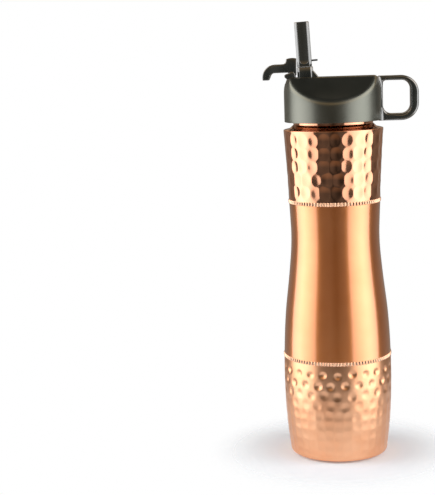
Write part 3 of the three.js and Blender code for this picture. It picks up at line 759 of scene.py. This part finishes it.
class BOTTLE_OT_lid(bpy.types.Operator):
    """Makes the lid's shell with its scoops, trough, ears and lugs."""

    bl_idname = "copper_bottle.lid"
    bl_label = "Lid shell"

    def execute(self, context):
        shell = self.shell()
        high = LID_TOP + 10 * MM
        flare = 0.45 * MM
        start, end = TROUGH_X
        for x0, x1, half in ((start, end, TROUGH_HALF), (POCKET_X, start + MM, POCKET_HALF)):
            section = [
                (-half, TROUGH_FLOOR), (half, TROUGH_FLOOR),
                (half, LID_TOP - flare), (half + flare, LID_TOP), (half + flare, high),
                (-half - flare, high), (-half - flare, LID_TOP), (-half, LID_TOP - flare),
            ]
            combine(shell, self.trench(section, x0, x1), "DIFFERENCE")
        notch = [
            (-POCKET_HALF, NOTCH_FLOOR), (POCKET_HALF, NOTCH_FLOOR),
            (POCKET_HALF, high), (-POCKET_HALF, high),
        ]
        combine(shell, self.trench(notch, POCKET_X - 8 * MM, POCKET_X + MM), "DIFFERENCE")
        vent_place = Vector((HUB.x + VENT_ALONG, 0, TROUGH_FLOOR))
        combine(shell, round_rod("vent_hole", VENT_R, -6 * MM, 4 * MM, vent_place, "Z"), "DIFFERENCE")
        set_sharp(shell, 32.0)
        finish_piece(shell, "lid", "satin_black", satin_metallic_lacquer(), "lid_shell")
        ear_middle = (POCKET_HALF + TROUGH_HALF) / 2
        lug_middle = TROUGH_HALF + 1.3 * MM
        for side, word in ((-1, "front"), (1, "back")):
            for piece, middle in ((self.ear("lever_ear_" + word), ear_middle),
                                  (self.lug("detent_lug_" + word), lug_middle)):
                piece.data.transform(Matrix.Translation((0, side * middle, 0)))
                finish_piece(piece, "lid", "gloss_black", gloss_black_abs(), "lid_shell")
        return {"FINISHED"}

    def trench(self, section, x0, x1):
        """A cutter with the given section across the lid, from x0 to x1."""
        return skinned("trench", [[(x, y, z) for y, z in section] for x in (x0, x1)])

    def shell(self):
        """The lid without its trough, from the top's middle out over the side and up inside."""
        angles = np.linspace(0, 2 * math.pi, 288, endpoint=False)
        columns = [self.column(abs(math.sin(a))) for a in angles]
        rings = [
            [(radius * math.cos(a), radius * math.sin(a), z) for a, (radius, z) in zip(angles, row)]
            for row in zip(*columns)
        ]
        return skinned("lid_shell_moulded", rings)

    def column(self, away):
        """Radii and heights from the middle of the top to the side and up inside, in one direction.
        away is how much of the radius counts as distance from the lid's middle plane."""

        def top(radius):
            return float(soft_minimum(LID_TOP, scoop_height(radius * away), 1.2 * MM))

        low, high = LID_BOTTOM, LID_TOP
        for _ in range(30):
            middle = (low + high) / 2
            if top(side_radius(middle)) > middle:
                low = middle
            else:
                high = middle
        corner = (side_radius(low), low)
        bridge_run, more_in_scoop, deep_scoop = 1.3, 1.9, 6 * MM
        run = (bridge_run + more_in_scoop * min(1.0, (LID_TOP - low) / deep_scoop)) * MM
        radii = np.linspace(0.3 * MM, corner[0] - run, 44)
        points = [(r, top(r)) for r in radii]
        below = (side_radius(low - run), low - run)
        start, control, end = Vector(points[-1]), Vector(corner), Vector(below)
        for t in np.linspace(0, 1, 9)[1:]:
            points.append(tuple(start.lerp(control, t).lerp(control.lerp(end, t), t)))
        for t in np.linspace(0, 1, 12)[1:]:
            z = below[1] + (LID_BOTTOM + 0.35 * MM - below[1]) * t
            points.append((side_radius(z), z))
        return points + [
            (LID_R - 0.1 * MM, LID_BOTTOM + 0.1 * MM),
            (LID_R - 0.35 * MM, LID_BOTTOM),
            (SKIRT_R + 0.4 * MM, LID_BOTTOM),
            (SKIRT_R, LID_BOTTOM + 0.4 * MM),
            (SKIRT_R, CEILING),
            (0.3 * MM, CEILING),
        ]

    def ear(self, name):
        """One cheek of the lever's hinge, with a smaller bump on its outer side."""
        root = LID_TOP - 2 * MM
        bump_r, bump_x, bump_z = 1.4 * MM, -32.5 * MM, 275.9 * MM
        outline = [(-25.7 * MM, root)]
        outline += arc((HINGE.x, HINGE.z), 2.4 * MM, -10, 140, 14)
        outline += [(bump_x + 0.1 * MM, bump_z + bump_r)]
        outline += arc((bump_x, bump_z), bump_r, 95, 250, 10)
        outline += [(-31.2 * MM, root)]
        return soft_prism(name, outline, (TROUGH_HALF - POCKET_HALF) / 2, 0.6 * MM)

    def lug(self, name):
        """The lug on the bridge beside the trough, steep by the raised spout and sloping off
        towards the loop."""
        low, high = LID_TOP - 2 * MM, LID_TOP + 4.5 * MM
        face, crest, toe = -14.4 * MM, -13.4 * MM, -9.7 * MM
        middle = -12 * MM
        outline = fillet([
            (middle, low), (face, low), (face, high), (crest, high),
            (toe, LID_TOP), (toe, low), (middle, low),
        ], (0, 0.5 * MM, 0.6 * MM, 0.8 * MM, 0), 5)[:-1]
        return soft_prism(name, outline, 1.1 * MM, 0.3 * MM)


LOOP_OPENING_X = 54.7 * MM
LOOP_OPENING_Z = (247.4 * MM, 270.9 * MM)
LOOP_OUTER_CORNER = 12.2 * MM
LOOP_INNER_CORNER = 6.4 * MM


class BOTTLE_OT_loop(bpy.types.Operator):
    """Makes the carry loop as one rounded bar around its opening."""

    bl_idname = "copper_bottle.loop"
    bl_label = "Carry loop"

    def execute(self, context):
        low, high = LOOP_LOW, LOOP_HIGH
        outer = self.frame_line(
            LID_R - 2.4 * MM, high.x, low.z, high.z, (0.6 * MM, 0.6 * MM), LOOP_OUTER_CORNER)
        inner = self.frame_line(
            LID_R + 0.7 * MM, LOOP_OPENING_X, *LOOP_OPENING_Z, (6.2 * MM, 2.4 * MM), LOOP_INNER_CORNER)
        rings = []
        for out, into in zip(outer, inner):
            middle = (out + into) / 2
            reach = (out - into) / 2
            thick = float(np.linalg.norm(reach))
            corner = min(1.7 * MM, 0.8 * thick)
            ring = []
            for across, deep in rounded_rectangle(thick, high.y, corner, 6):
                point = middle + reach * across / thick
                ring.append((point[0], deep, point[1]))
            rings.append(ring)
        loop = skinned("carry_loop_bar", rings, 60.0, True)
        finish_piece(loop, "lid", "gloss_black", gloss_black_abs(), "carry_loop")
        roots = (("low", low.z + 0.3 * MM, 252 * MM), ("high", high.z - 0.6 * MM, 266 * MM))
        for side, word in ((-1, "front"), (1, "back")):
            for level, full, thin in roots:
                root = self.root_fillet(f"carry_loop_root_{word}_{level}", side, full, thin, high.y)
                finish_piece(root, "lid", "gloss_black", gloss_black_abs(), "carry_loop")
        return {"FINISHED"}

    def frame_line(self, left, right, low, high, left_corners, right_corner):
        """A rounded rectangle with as many points on each side and corner whatever its size."""
        corners = (
            (right, low, 1, -1, right_corner, -90), (right, high, 1, 1, right_corner, 0),
            (left, high, -1, 1, left_corners[1], 90), (left, low, -1, -1, left_corners[0], 180),
        )
        arcs = [
            arc((x - sx * radius, z - sz * radius), radius, start, start + 90, 14)
            for x, z, sx, sz, radius, start in corners
        ]
        points = []
        for one, following in zip(arcs, arcs[1:] + arcs[:1]):
            points += [np.array(p) for p in one]
            a, b = points[-1], np.array(following[0])
            points += [a + (b - a) * t for t in np.linspace(0, 1, 10)[1:-1]]
        return points

    def root_fillet(self, name, side, full, thin, half):
        """The hollow rounding between the lid's side and a face of the loop, from its full size at
        one height to nothing at another."""
        rings = []
        widest, fades = 2.6 * MM, 0.96
        for part in np.linspace(0, 1, 14):
            radius = widest * math.sqrt(1 - fades * part ** 2)
            z = full + (thin - full) * part
            start = math.sqrt(side_radius(z) ** 2 - (half + radius) ** 2)
            buried, under = start - 1.5 * MM, half - 0.6 * MM
            section = [(buried, half + radius), (start - 0.1 * MM, half + radius)]
            section += arc((start + radius, half + radius), radius, 180, 270, 10)
            section += [(start + radius + 0.2 * MM, under), (buried, under)]
            rings.append([(x, side * y, z) for x, y in section])
        return skinned(name, rings, 40.0)


# ------------------------------------------------------------------ spout and lever

def rounded_rectangle(half_x, half_y, corner, per_corner=8):
    """Points around a rounded rectangle, the same number whatever its size."""
    points = []
    for sx, sy, start in ((1, 1, 0), (-1, 1, 90), (-1, -1, 180), (1, -1, 270)):
        centre = (sx * (half_x - corner), sy * (half_y - corner))
        points += arc(centre, corner, start, start + 90, per_corner)
    return points


def chamfered_rectangle(half_x, half_y, cut, soft=0.35 * MM):
    """Points around a rectangle with flats cut across its corners, the same number whatever its size."""
    corners = []
    for sx, sy in ((1, 1), (-1, 1), (-1, -1), (1, -1)):
        pair = [(sx * half_x, sy * (half_y - cut)), (sx * (half_x - cut), sy * half_y)]
        corners += pair if sx == sy else pair[::-1]
    return fillet([(half_x, 0)] + corners + [(half_x, 0)], [soft] * 8, 4)[:-1]


# Lengths along the spout are from its pivot. It is broad across the lid and thin along it.
SPOUT_CUT = 1.6 * MM
SPOUT_HALF = 7.2 * MM
HUB_R = 4.2 * MM
HUB_HALF = 6.9 * MM
ROOT_TOP = 18.55 * MM
MOUTH_BASE = 18.75 * MM
MOUTH_TIP = 50.3 * MM
MOUTH_DEPTH = 5.2 * MM
MOUTH_TAPER = 1.4 * MM
MOUTH_BORE = 2.2 * MM
PLUG_ALONG = 22.8 * MM


class BOTTLE_OT_spout(bpy.types.Operator):
    """Makes the drinking spout: hub, root block, mouthpiece and vent plug."""

    bl_idname = "copper_bottle.spout"
    bl_label = "Drinking spout"

    def execute(self, context):
        root = self.root_block()
        hub = round_rod("spout_hub", HUB_R, -HUB_HALF, HUB_HALF, Vector(), "Y", 0.4 * MM)
        mouth = self.mouthpiece()
        plug = round_rod(
            "vent_plug_pin", 0.62 * MM, 4.2 * MM, 9.5 * MM, Vector((0, 0, PLUG_ALONG)), "X", 0.3 * MM)
        for piece in (root, hub, mouth, plug):
            piece.data.transform(SPOUT_FRAME)
        finish_piece(hub, "spout", "gloss_black", gloss_black_abs(), "spout_arm")
        finish_piece(root, "spout", "gloss_black", gloss_black_abs(), "spout_arm")
        finish_piece(mouth, "spout", "gloss_black", gloss_black_abs(), "mouthpiece")
        finish_piece(plug, "spout", "silicone", moulded_silicone(), "vent_plug")
        return {"FINISHED"}

    def root_block(self):
        """The block that carries the mouthpiece, narrowing to a neck on the hub. Heights are along
        the spout from the hub's middle."""
        depth = 5.6 * MM
        sections = [(8.0 * MM, 5.2 * MM, 6.9 * MM), (8.8 * MM, 5.7 * MM, SPOUT_HALF)]
        sections += [(along * MM, depth, SPOUT_HALF) for along in (10, 14, 18.1)]
        sections += [(18.4 * MM, 5.5 * MM, 7.1 * MM), (ROOT_TOP, 5.25 * MM, 6.85 * MM)]
        rings = [
            [(x + 0.15 * MM, y, along) for x, y in chamfered_rectangle(half_x, half_y, SPOUT_CUT)]
            for along, half_x, half_y in sections
        ]
        block = skinned("spout_root_block", rings, 50.0)
        waist, knee, shoulder, top = 3.2 * MM, 6.0 * MM, 8.6 * MM, 12 * MM
        left, right = -5.0 * MM, 5.3 * MM
        neck = fillet([
            (0, 0), (waist, 0), (waist, knee), (right, shoulder), (right, top),
            (left, top), (left, shoulder), (-waist, knee), (-waist, 0), (0, 0),
        ], (0, 0.8 * MM, 0.9 * MM, 0.5 * MM, 0.5 * MM, 0.9 * MM, 0.8 * MM, 0), 5)[:-1]
        return combine(block, soft_prism("spout_neck", neck, 6.6 * MM, 0.9 * MM), "UNION")

    def mouthpiece(self):
        """The bar: a small bevel at its root, a taper to the tip, a rounded end and the bore."""
        base, tip, lip = MOUTH_BASE, MOUTH_TIP, 0.8 * MM
        straight = 9 * MM
        sections = []
        for up, shrink in ((0.0, 0.35), (0.15, 0.1), (0.4, 0.0)):
            sections.append((base + up * MM, MOUTH_DEPTH - shrink * MM, SPOUT_HALF - shrink * MM, SPOUT_CUT))
        for along in np.linspace(base + 4 * MM, tip - 1.2 * MM, 12):
            part = max(0.0, (along - base - straight) / (tip - base - straight))
            sections.append((along, MOUTH_DEPTH, SPOUT_HALF - MOUTH_TAPER * part ** 1.4, SPOUT_CUT))
        for a in np.radians(np.linspace(15, 90, 6)):
            inset = lip * (1 - math.cos(a))
            sections.append((
                tip - lip * (1 - math.sin(a)), MOUTH_DEPTH - inset,
                SPOUT_HALF - MOUTH_TAPER - inset, SPOUT_CUT - inset * 0.4))
        rings = [
            [(x, y, along) for x, y in chamfered_rectangle(half_x, half_y, cut)]
            for along, half_x, half_y, cut in sections
        ]
        angles = [math.atan2(y, x) for x, y, _ in rings[-1]]
        bore = ((0.35, tip), (0.1, tip - 0.1 * MM), (0.0, tip - 0.4 * MM), (0.0, base + 2 * MM))
        for wider, along in bore:
            radius = MOUTH_BORE + wider * MM
            rings.append([(radius * math.cos(a), radius * math.sin(a), along) for a in angles])
        bar = skinned("mouthpiece_bar", rings)
        for side in (-1, 1):
            combine(bar, self.panel(side), "DIFFERENCE")
        set_sharp(bar, 35.0)
        return bar

    def panel(self, side):
        """A shallow panel in the broad face, round at its lower end and open at the tip."""
        half, pivot, past_tip = 3.4 * MM, 34 * MM, 54 * MM
        outline = arc((0, 23.9 * MM), half, 180, 360, 24) + [(half, past_tip), (-half, past_tip)]
        cutter = soft_prism("panel", outline, 2 * MM, 0.3 * MM)
        tilt = 0.8 * math.atan2(1.4, 22.0)
        cutter.data.transform(Matrix.Translation((0, 0, -pivot)))
        cutter.data.transform(Matrix.Rotation(side * tilt, 4, "X"))
        cutter.data.transform(Matrix.Translation((0, side * 8.35 * MM, pivot)))
        return cutter


class BOTTLE_OT_lever(bpy.types.Operator):
    """Makes the hooked lock lever. Its outline is in mm from the hinge, towards the loop and up."""

    bl_idname = "copper_bottle.lever"
    bl_label = "Lock lever"

    def execute(self, context):
        top_r, hook_r, tip_r, boss_r = 12.0, 9.0, 0.8, 2.2
        left, right = -3.9, 3.1
        start, end = (math.degrees(math.acos(x / top_r)) for x in (right, left))
        outline = [(right, 0.0)]
        outline += arc((0, 0), top_r, start, end, 10)
        outline += [(left - 0.15, 10.2), (left - 0.7, 8.7), (left - 1.9, 7.85), (left - 4, 7.7)]
        outline += arc((-12, -1.3), hook_r, 90, 180, 16)
        outline += arc((-20.2, -2.5), tip_r, 190, 270, 4)
        outline += arc((-17.0, -2.5), tip_r, 270, 330, 3)
        outline += [(-15.7, -1.4), (-15.1, 0.1), (-14.2, 1.15), (-12.8, 1.65)]
        outline += [(x, 1.7) for x in (-11.0, -7, -3)]
        outline += arc((0, 0), boss_r, 150, 318, 14)
        points = [(HINGE.x + x * MM, HINGE.z + z * MM) for x, z in outline]
        lever = soft_prism("lock_lever_hook", points, self.half_width, 0.75 * MM, 5)
        finish_piece(lever, "lever", "gloss_black", gloss_black_abs(), "lock_lever")
        return {"FINISHED"}

    def half_width(self, x, z):
        """Half the lever's width, which flares along the hook for the thumb."""
        root_half, flare, flare_start, flare_run = 4.8, 1.8, 8, 7
        out = (HINGE.x - x) / MM
        t = min(1.0, max(0.0, (out - flare_start) / flare_run))
        return (root_half + flare * t * t * (3 - 2 * t)) * MM


class BOTTLE_OT_pins(bpy.types.Operator):
    """Makes the pivot pins."""

    bl_idname = "copper_bottle.pins"
    bl_label = "Pivot pins"

    def execute(self, context):
        for node in ("spout_pin_front", "spout_pin_back", "lever_pin"):
            low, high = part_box(node)
            place = Vector(((low.x + high.x) / 2, 0, (low.z + high.z) / 2))
            pin = round_rod(node + "_wire", (high.x - low.x) / 2, low.y, high.y, place)
            finish_piece(pin, "lid", "steel", drawn_steel_wire(), node)
        return {"FINISHED"}


class BOTTLE_OT_inside(bpy.types.Operator):
    """Gives the seals, liner, port and straw their materials."""

    bl_idname = "copper_bottle.inside"
    bl_label = "Inner pieces"

    def execute(self, context):
        finishes = {
            "lid_gasket": moulded_silicone(),
            "port_seal": moulded_silicone(),
            "vent_seal": moulded_silicone(),
            "lid_liner": gloss_black_abs(),
            "straw_port": gloss_black_abs(),
            "straw": extruded_polypropylene(),
        }
        for node, material in finishes.items():
            obj = frame["nodes"][node]
            obj.data.materials.clear()
            obj.data.materials.append(material)
        return {"FINISHED"}


# ------------------------------------------------------------------ stage

CAMERA_DISTANCE = 0.9012
CAMERA_HEIGHT = 0.2925
CAMERA_YAW = math.radians(5.455)
CAMERA_PITCH = math.radians(8.756)
CAMERA_ROLL = math.radians(-1.91)
CAMERA_LENS = 90.9
CAMERA_SENSOR = 36
PANEL_DISTANCE = 0.62
PANEL_HEIGHT = 1.3
PANEL_MIDDLE = 0.42
PANEL_RADIANCE = 2.0
FLOOR_R = 0.34
FLOOR_SEEN_R = 0.1
FLOOR_LIT_R = 0.32


class BOTTLE_OT_stage(bpy.types.Operator):
    """Makes the camera, the pale floor and the studio light."""

    bl_idname = "copper_bottle.stage"
    bl_label = "Stage"

    def execute(self, context):
        self.camera(context)
        self.floor()
        self.world(context)
        self.softbox("left_softbox", 79, 0.82, 1)
        self.softbox("right_softbox", -64, 0.80, 0)
        self.fill("overhead_fill", (0, -0.1, 1.0), 0.7, 1.0)
        self.fill("left_fill", (-0.75, -0.1, 0.42), 0.35, 1.4)
        self.fill("right_fill", (0.75, -0.1, 0.42), 0.35, 1.4)
        context.scene.view_settings.view_transform = "Standard"
        return {"FINISHED"}

    def camera(self, context):
        data = bpy.data.cameras.new("camera")
        data.lens = CAMERA_LENS
        data.sensor_width = CAMERA_SENSOR
        data.clip_start = 0.01
        camera = bpy.data.objects.new("camera", data)
        place = Matrix.Translation((0, -CAMERA_DISTANCE, CAMERA_HEIGHT))
        turn = Matrix.Rotation(CAMERA_YAW, 4, "Z") @ Matrix.Rotation(math.pi / 2 - CAMERA_PITCH, 4, "X")
        camera.matrix_world = place @ turn @ Matrix.Rotation(CAMERA_ROLL, 4, "Z")
        context.scene.collection.objects.link(camera)
        context.scene.camera = camera

    def hang(self, name, data, place, aim):
        """Puts a lamp at a place, facing along aim and hidden from the camera."""
        light = bpy.data.objects.new(name, data)
        light.matrix_world = Matrix.Translation(place) @ aim.to_track_quat("-Z", "Y").to_matrix().to_4x4()
        light.visible_camera = False
        bpy.context.scene.collection.objects.link(light)
        return light

    def softbox(self, name, degrees, width, inner_edge):
        """A tall panel light at an angle from the camera's side, positive to the left. Its lamp
        stands nearer its outer edge, so it is dimmest at inner_edge, which is 0 or 1 across it."""
        data = bpy.data.lights.new(name, "AREA")
        data.shape = "RECTANGLE"
        data.size = width
        data.size_y = PANEL_HEIGHT
        data.energy = math.pi * width * PANEL_HEIGHT * PANEL_RADIANCE
        tree = empty_tree(data)
        place = add_node(tree, "ShaderNodeNewGeometry")
        parts = add_node(tree, "ShaderNodeSeparateXYZ", links={0: place.outputs["Parametric"]})
        spread = add_node(tree, "ShaderNodeMapRange",
                          {"From Min": inner_edge, "From Max": 1 - inner_edge, "To Min": 0.0, "To Max": 1.0},
                          {"Value": parts.outputs["X"]})
        glow = add_node(tree, "ShaderNodeValToRGB", links={"Fac": spread.outputs["Result"]},
                        stops=((0.0, (0.5, 0.5, 0.5)), (0.6, (1.25, 1.25, 1.25)), (1.0, (0.8, 0.8, 0.8))))
        lamp = add_node(tree, "ShaderNodeEmission", {"Strength": 1.0}, {"Color": glow.outputs["Color"]})
        add_node(tree, "ShaderNodeOutputLight", links={"Surface": lamp.outputs["Emission"]})
        a = math.radians(degrees)
        out = Vector((-PANEL_DISTANCE * math.sin(a), -PANEL_DISTANCE * math.cos(a), 0))
        self.hang(name, data, out + Vector((0, 0, PANEL_MIDDLE)), -out)

    def fill(self, name, place, size, watts):
        """A wide soft light for the floor and the matt surfaces, which no reflection shows."""
        data = bpy.data.lights.new(name, "AREA")
        data.shape = "DISK"
        data.size = size
        data.energy = watts
        self.hang(name, data, place, -Vector(place)).visible_glossy = False

    def floor(self):
        """A paper disc that fades out close to the foot for the camera, and further out for the
        light and reflections that the object takes from it."""
        material = bpy.data.materials.new("pale_floor")
        tree = empty_tree(material)
        place = add_node(tree, "ShaderNodeTexCoord").outputs["Object"]
        away = add_node(tree, "ShaderNodeVectorMath", links={0: place}, operation="LENGTH")
        ray = add_node(tree, "ShaderNodeLightPath")
        reach = add_node(tree, "ShaderNodeMapRange", {"To Min": FLOOR_LIT_R, "To Max": FLOOR_SEEN_R},
                         {"Value": ray.outputs["Is Camera Ray"]})
        fade = add_node(tree, "ShaderNodeMapRange", {"From Min": 0.04},
                        {"Value": away.outputs["Value"], "From Max": reach.outputs["Result"]},
                        interpolation_type="SMOOTHSTEP")
        paper = add_node(tree, "ShaderNodeBsdfPrincipled", {
            "Base Color": linear("E4ECF4"), "Roughness": 0.7,
            "Emission Color": (1, 1, 1, 1), "Emission Strength": 0.13})
        clear = add_node(tree, "ShaderNodeBsdfTransparent")
        mix = add_node(tree, "ShaderNodeMixShader", links={
            0: fade.outputs["Result"], 1: paper.outputs["BSDF"], 2: clear.outputs["BSDF"]})
        add_node(tree, "ShaderNodeOutputMaterial", links={"Surface": mix.outputs["Shader"]})
        corners = [(FLOOR_R * math.cos(a), FLOOR_R * math.sin(a), -0.2 * MM)
                   for a in np.linspace(0, 2 * math.pi, 96, endpoint=False)]
        floor = add_object("floor", corners, [tuple(range(len(corners)))])
        floor.data.materials.append(material)

    def world(self, context):
        """White to the camera. To the object: warm at eye level, dark overhead, nearly dark in
        front, pale behind and faintly warm below."""
        world = bpy.data.worlds.new("studio")
        tree = empty_tree(world)
        ray = add_node(tree, "ShaderNodeLightPath")
        place = add_node(tree, "ShaderNodeTexCoord")
        parts = add_node(tree, "ShaderNodeSeparateXYZ", links={0: place.outputs["Generated"]})
        sideways = add_node(tree, "ShaderNodeMapRange", {"From Min": -0.7, "From Max": 0.7},
                            {"Value": parts.outputs["X"]})
        below = add_node(tree, "ShaderNodeMapRange", {"From Min": -0.2, "From Max": -0.5},
                         {"Value": parts.outputs["Z"]})
        dark, warm = (0.0, 0.0, 0.0), (0.54, 0.34, 0.14)
        edge, flank, middle = (0.06, 0.059, 0.056), (0.1, 0.098, 0.092), (0.015, 0.015, 0.014)
        glows = (
            (parts.outputs["Z"], ((0.12, (0.01, 0.01, 0.009)), (0.42, warm), (0.58, warm), (0.74, dark))),
            (parts.outputs["Y"], ((0.15, dark), (0.75, (0.16, 0.14, 0.115)))),
            (sideways.outputs["Result"],
             ((0.0, edge), (0.3, flank), (0.5, middle), (0.7, flank), (1.0, edge))),
            (below.outputs["Result"], ((0.0, dark), (1.0, (0.13, 0.09, 0.05)))),
        )
        every = None
        for factor, stops in glows:
            glow = add_node(tree, "ShaderNodeValToRGB", links={"Fac": factor}, stops=stops).outputs["Color"]
            if every is None:
                every = glow
            else:
                links = {0: every, 1: glow}
                every = add_node(tree, "ShaderNodeVectorMath", links=links, operation="ADD").outputs[0]
        room = add_node(tree, "ShaderNodeBackground", {"Strength": 1.0}, {"Color": every})
        fill = add_node(tree, "ShaderNodeBackground", {"Color": (0.1, 0.1, 0.1, 1), "Strength": 1.0})
        dim = add_node(tree, "ShaderNodeMixShader", links={
            0: ray.outputs["Is Glossy Ray"], 1: fill.outputs["Background"], 2: room.outputs["Background"]})
        white = add_node(tree, "ShaderNodeBackground", {"Color": (1, 1, 1, 1), "Strength": 1.0})
        mix = add_node(tree, "ShaderNodeMixShader", links={
            0: ray.outputs["Is Camera Ray"], 1: dim.outputs["Shader"], 2: white.outputs["Background"]})
        add_node(tree, "ShaderNodeOutputWorld", links={"Surface": mix.outputs["Shader"]})
        context.scene.world = world


# ------------------------------------------------------------------ panel and registration

class BOTTLE_PT_panel(bpy.types.Panel):
    """Lists the bottle's operators and settings."""

    bl_label = "Copper bottle"
    bl_space_type = "VIEW_3D"
    bl_region_type = "UI"
    bl_category = "Copper bottle"

    def draw(self, context):
        for name in BottleSettings.__annotations__:
            self.layout.prop(context.scene.copper_bottle, name)
        for operator in OPERATORS:
            self.layout.operator(operator.bl_idname)


OPERATORS = (
    BOTTLE_OT_stage,
    BOTTLE_OT_foot,
    BOTTLE_OT_shells,
    BOTTLE_OT_rings,
    BOTTLE_OT_neck,
    BOTTLE_OT_lid,
    BOTTLE_OT_loop,
    BOTTLE_OT_spout,
    BOTTLE_OT_lever,
    BOTTLE_OT_pins,
    BOTTLE_OT_inside,
)
CLASSES = (BottleSettings,) + OPERATORS + (BOTTLE_PT_panel,)


def register():
    for one in CLASSES:
        bpy.utils.register_class(one)
    bpy.types.Scene.copper_bottle = PointerProperty(type=BottleSettings)


def unregister():
    del bpy.types.Scene.copper_bottle
    for one in reversed(CLASSES):
        bpy.utils.unregister_class(one)


def main():
    register()
    for operator in OPERATORS:
        group, name = operator.bl_idname.split(".")
        getattr(getattr(bpy.ops, group), name)()


if __name__ == "__main__":
    main()
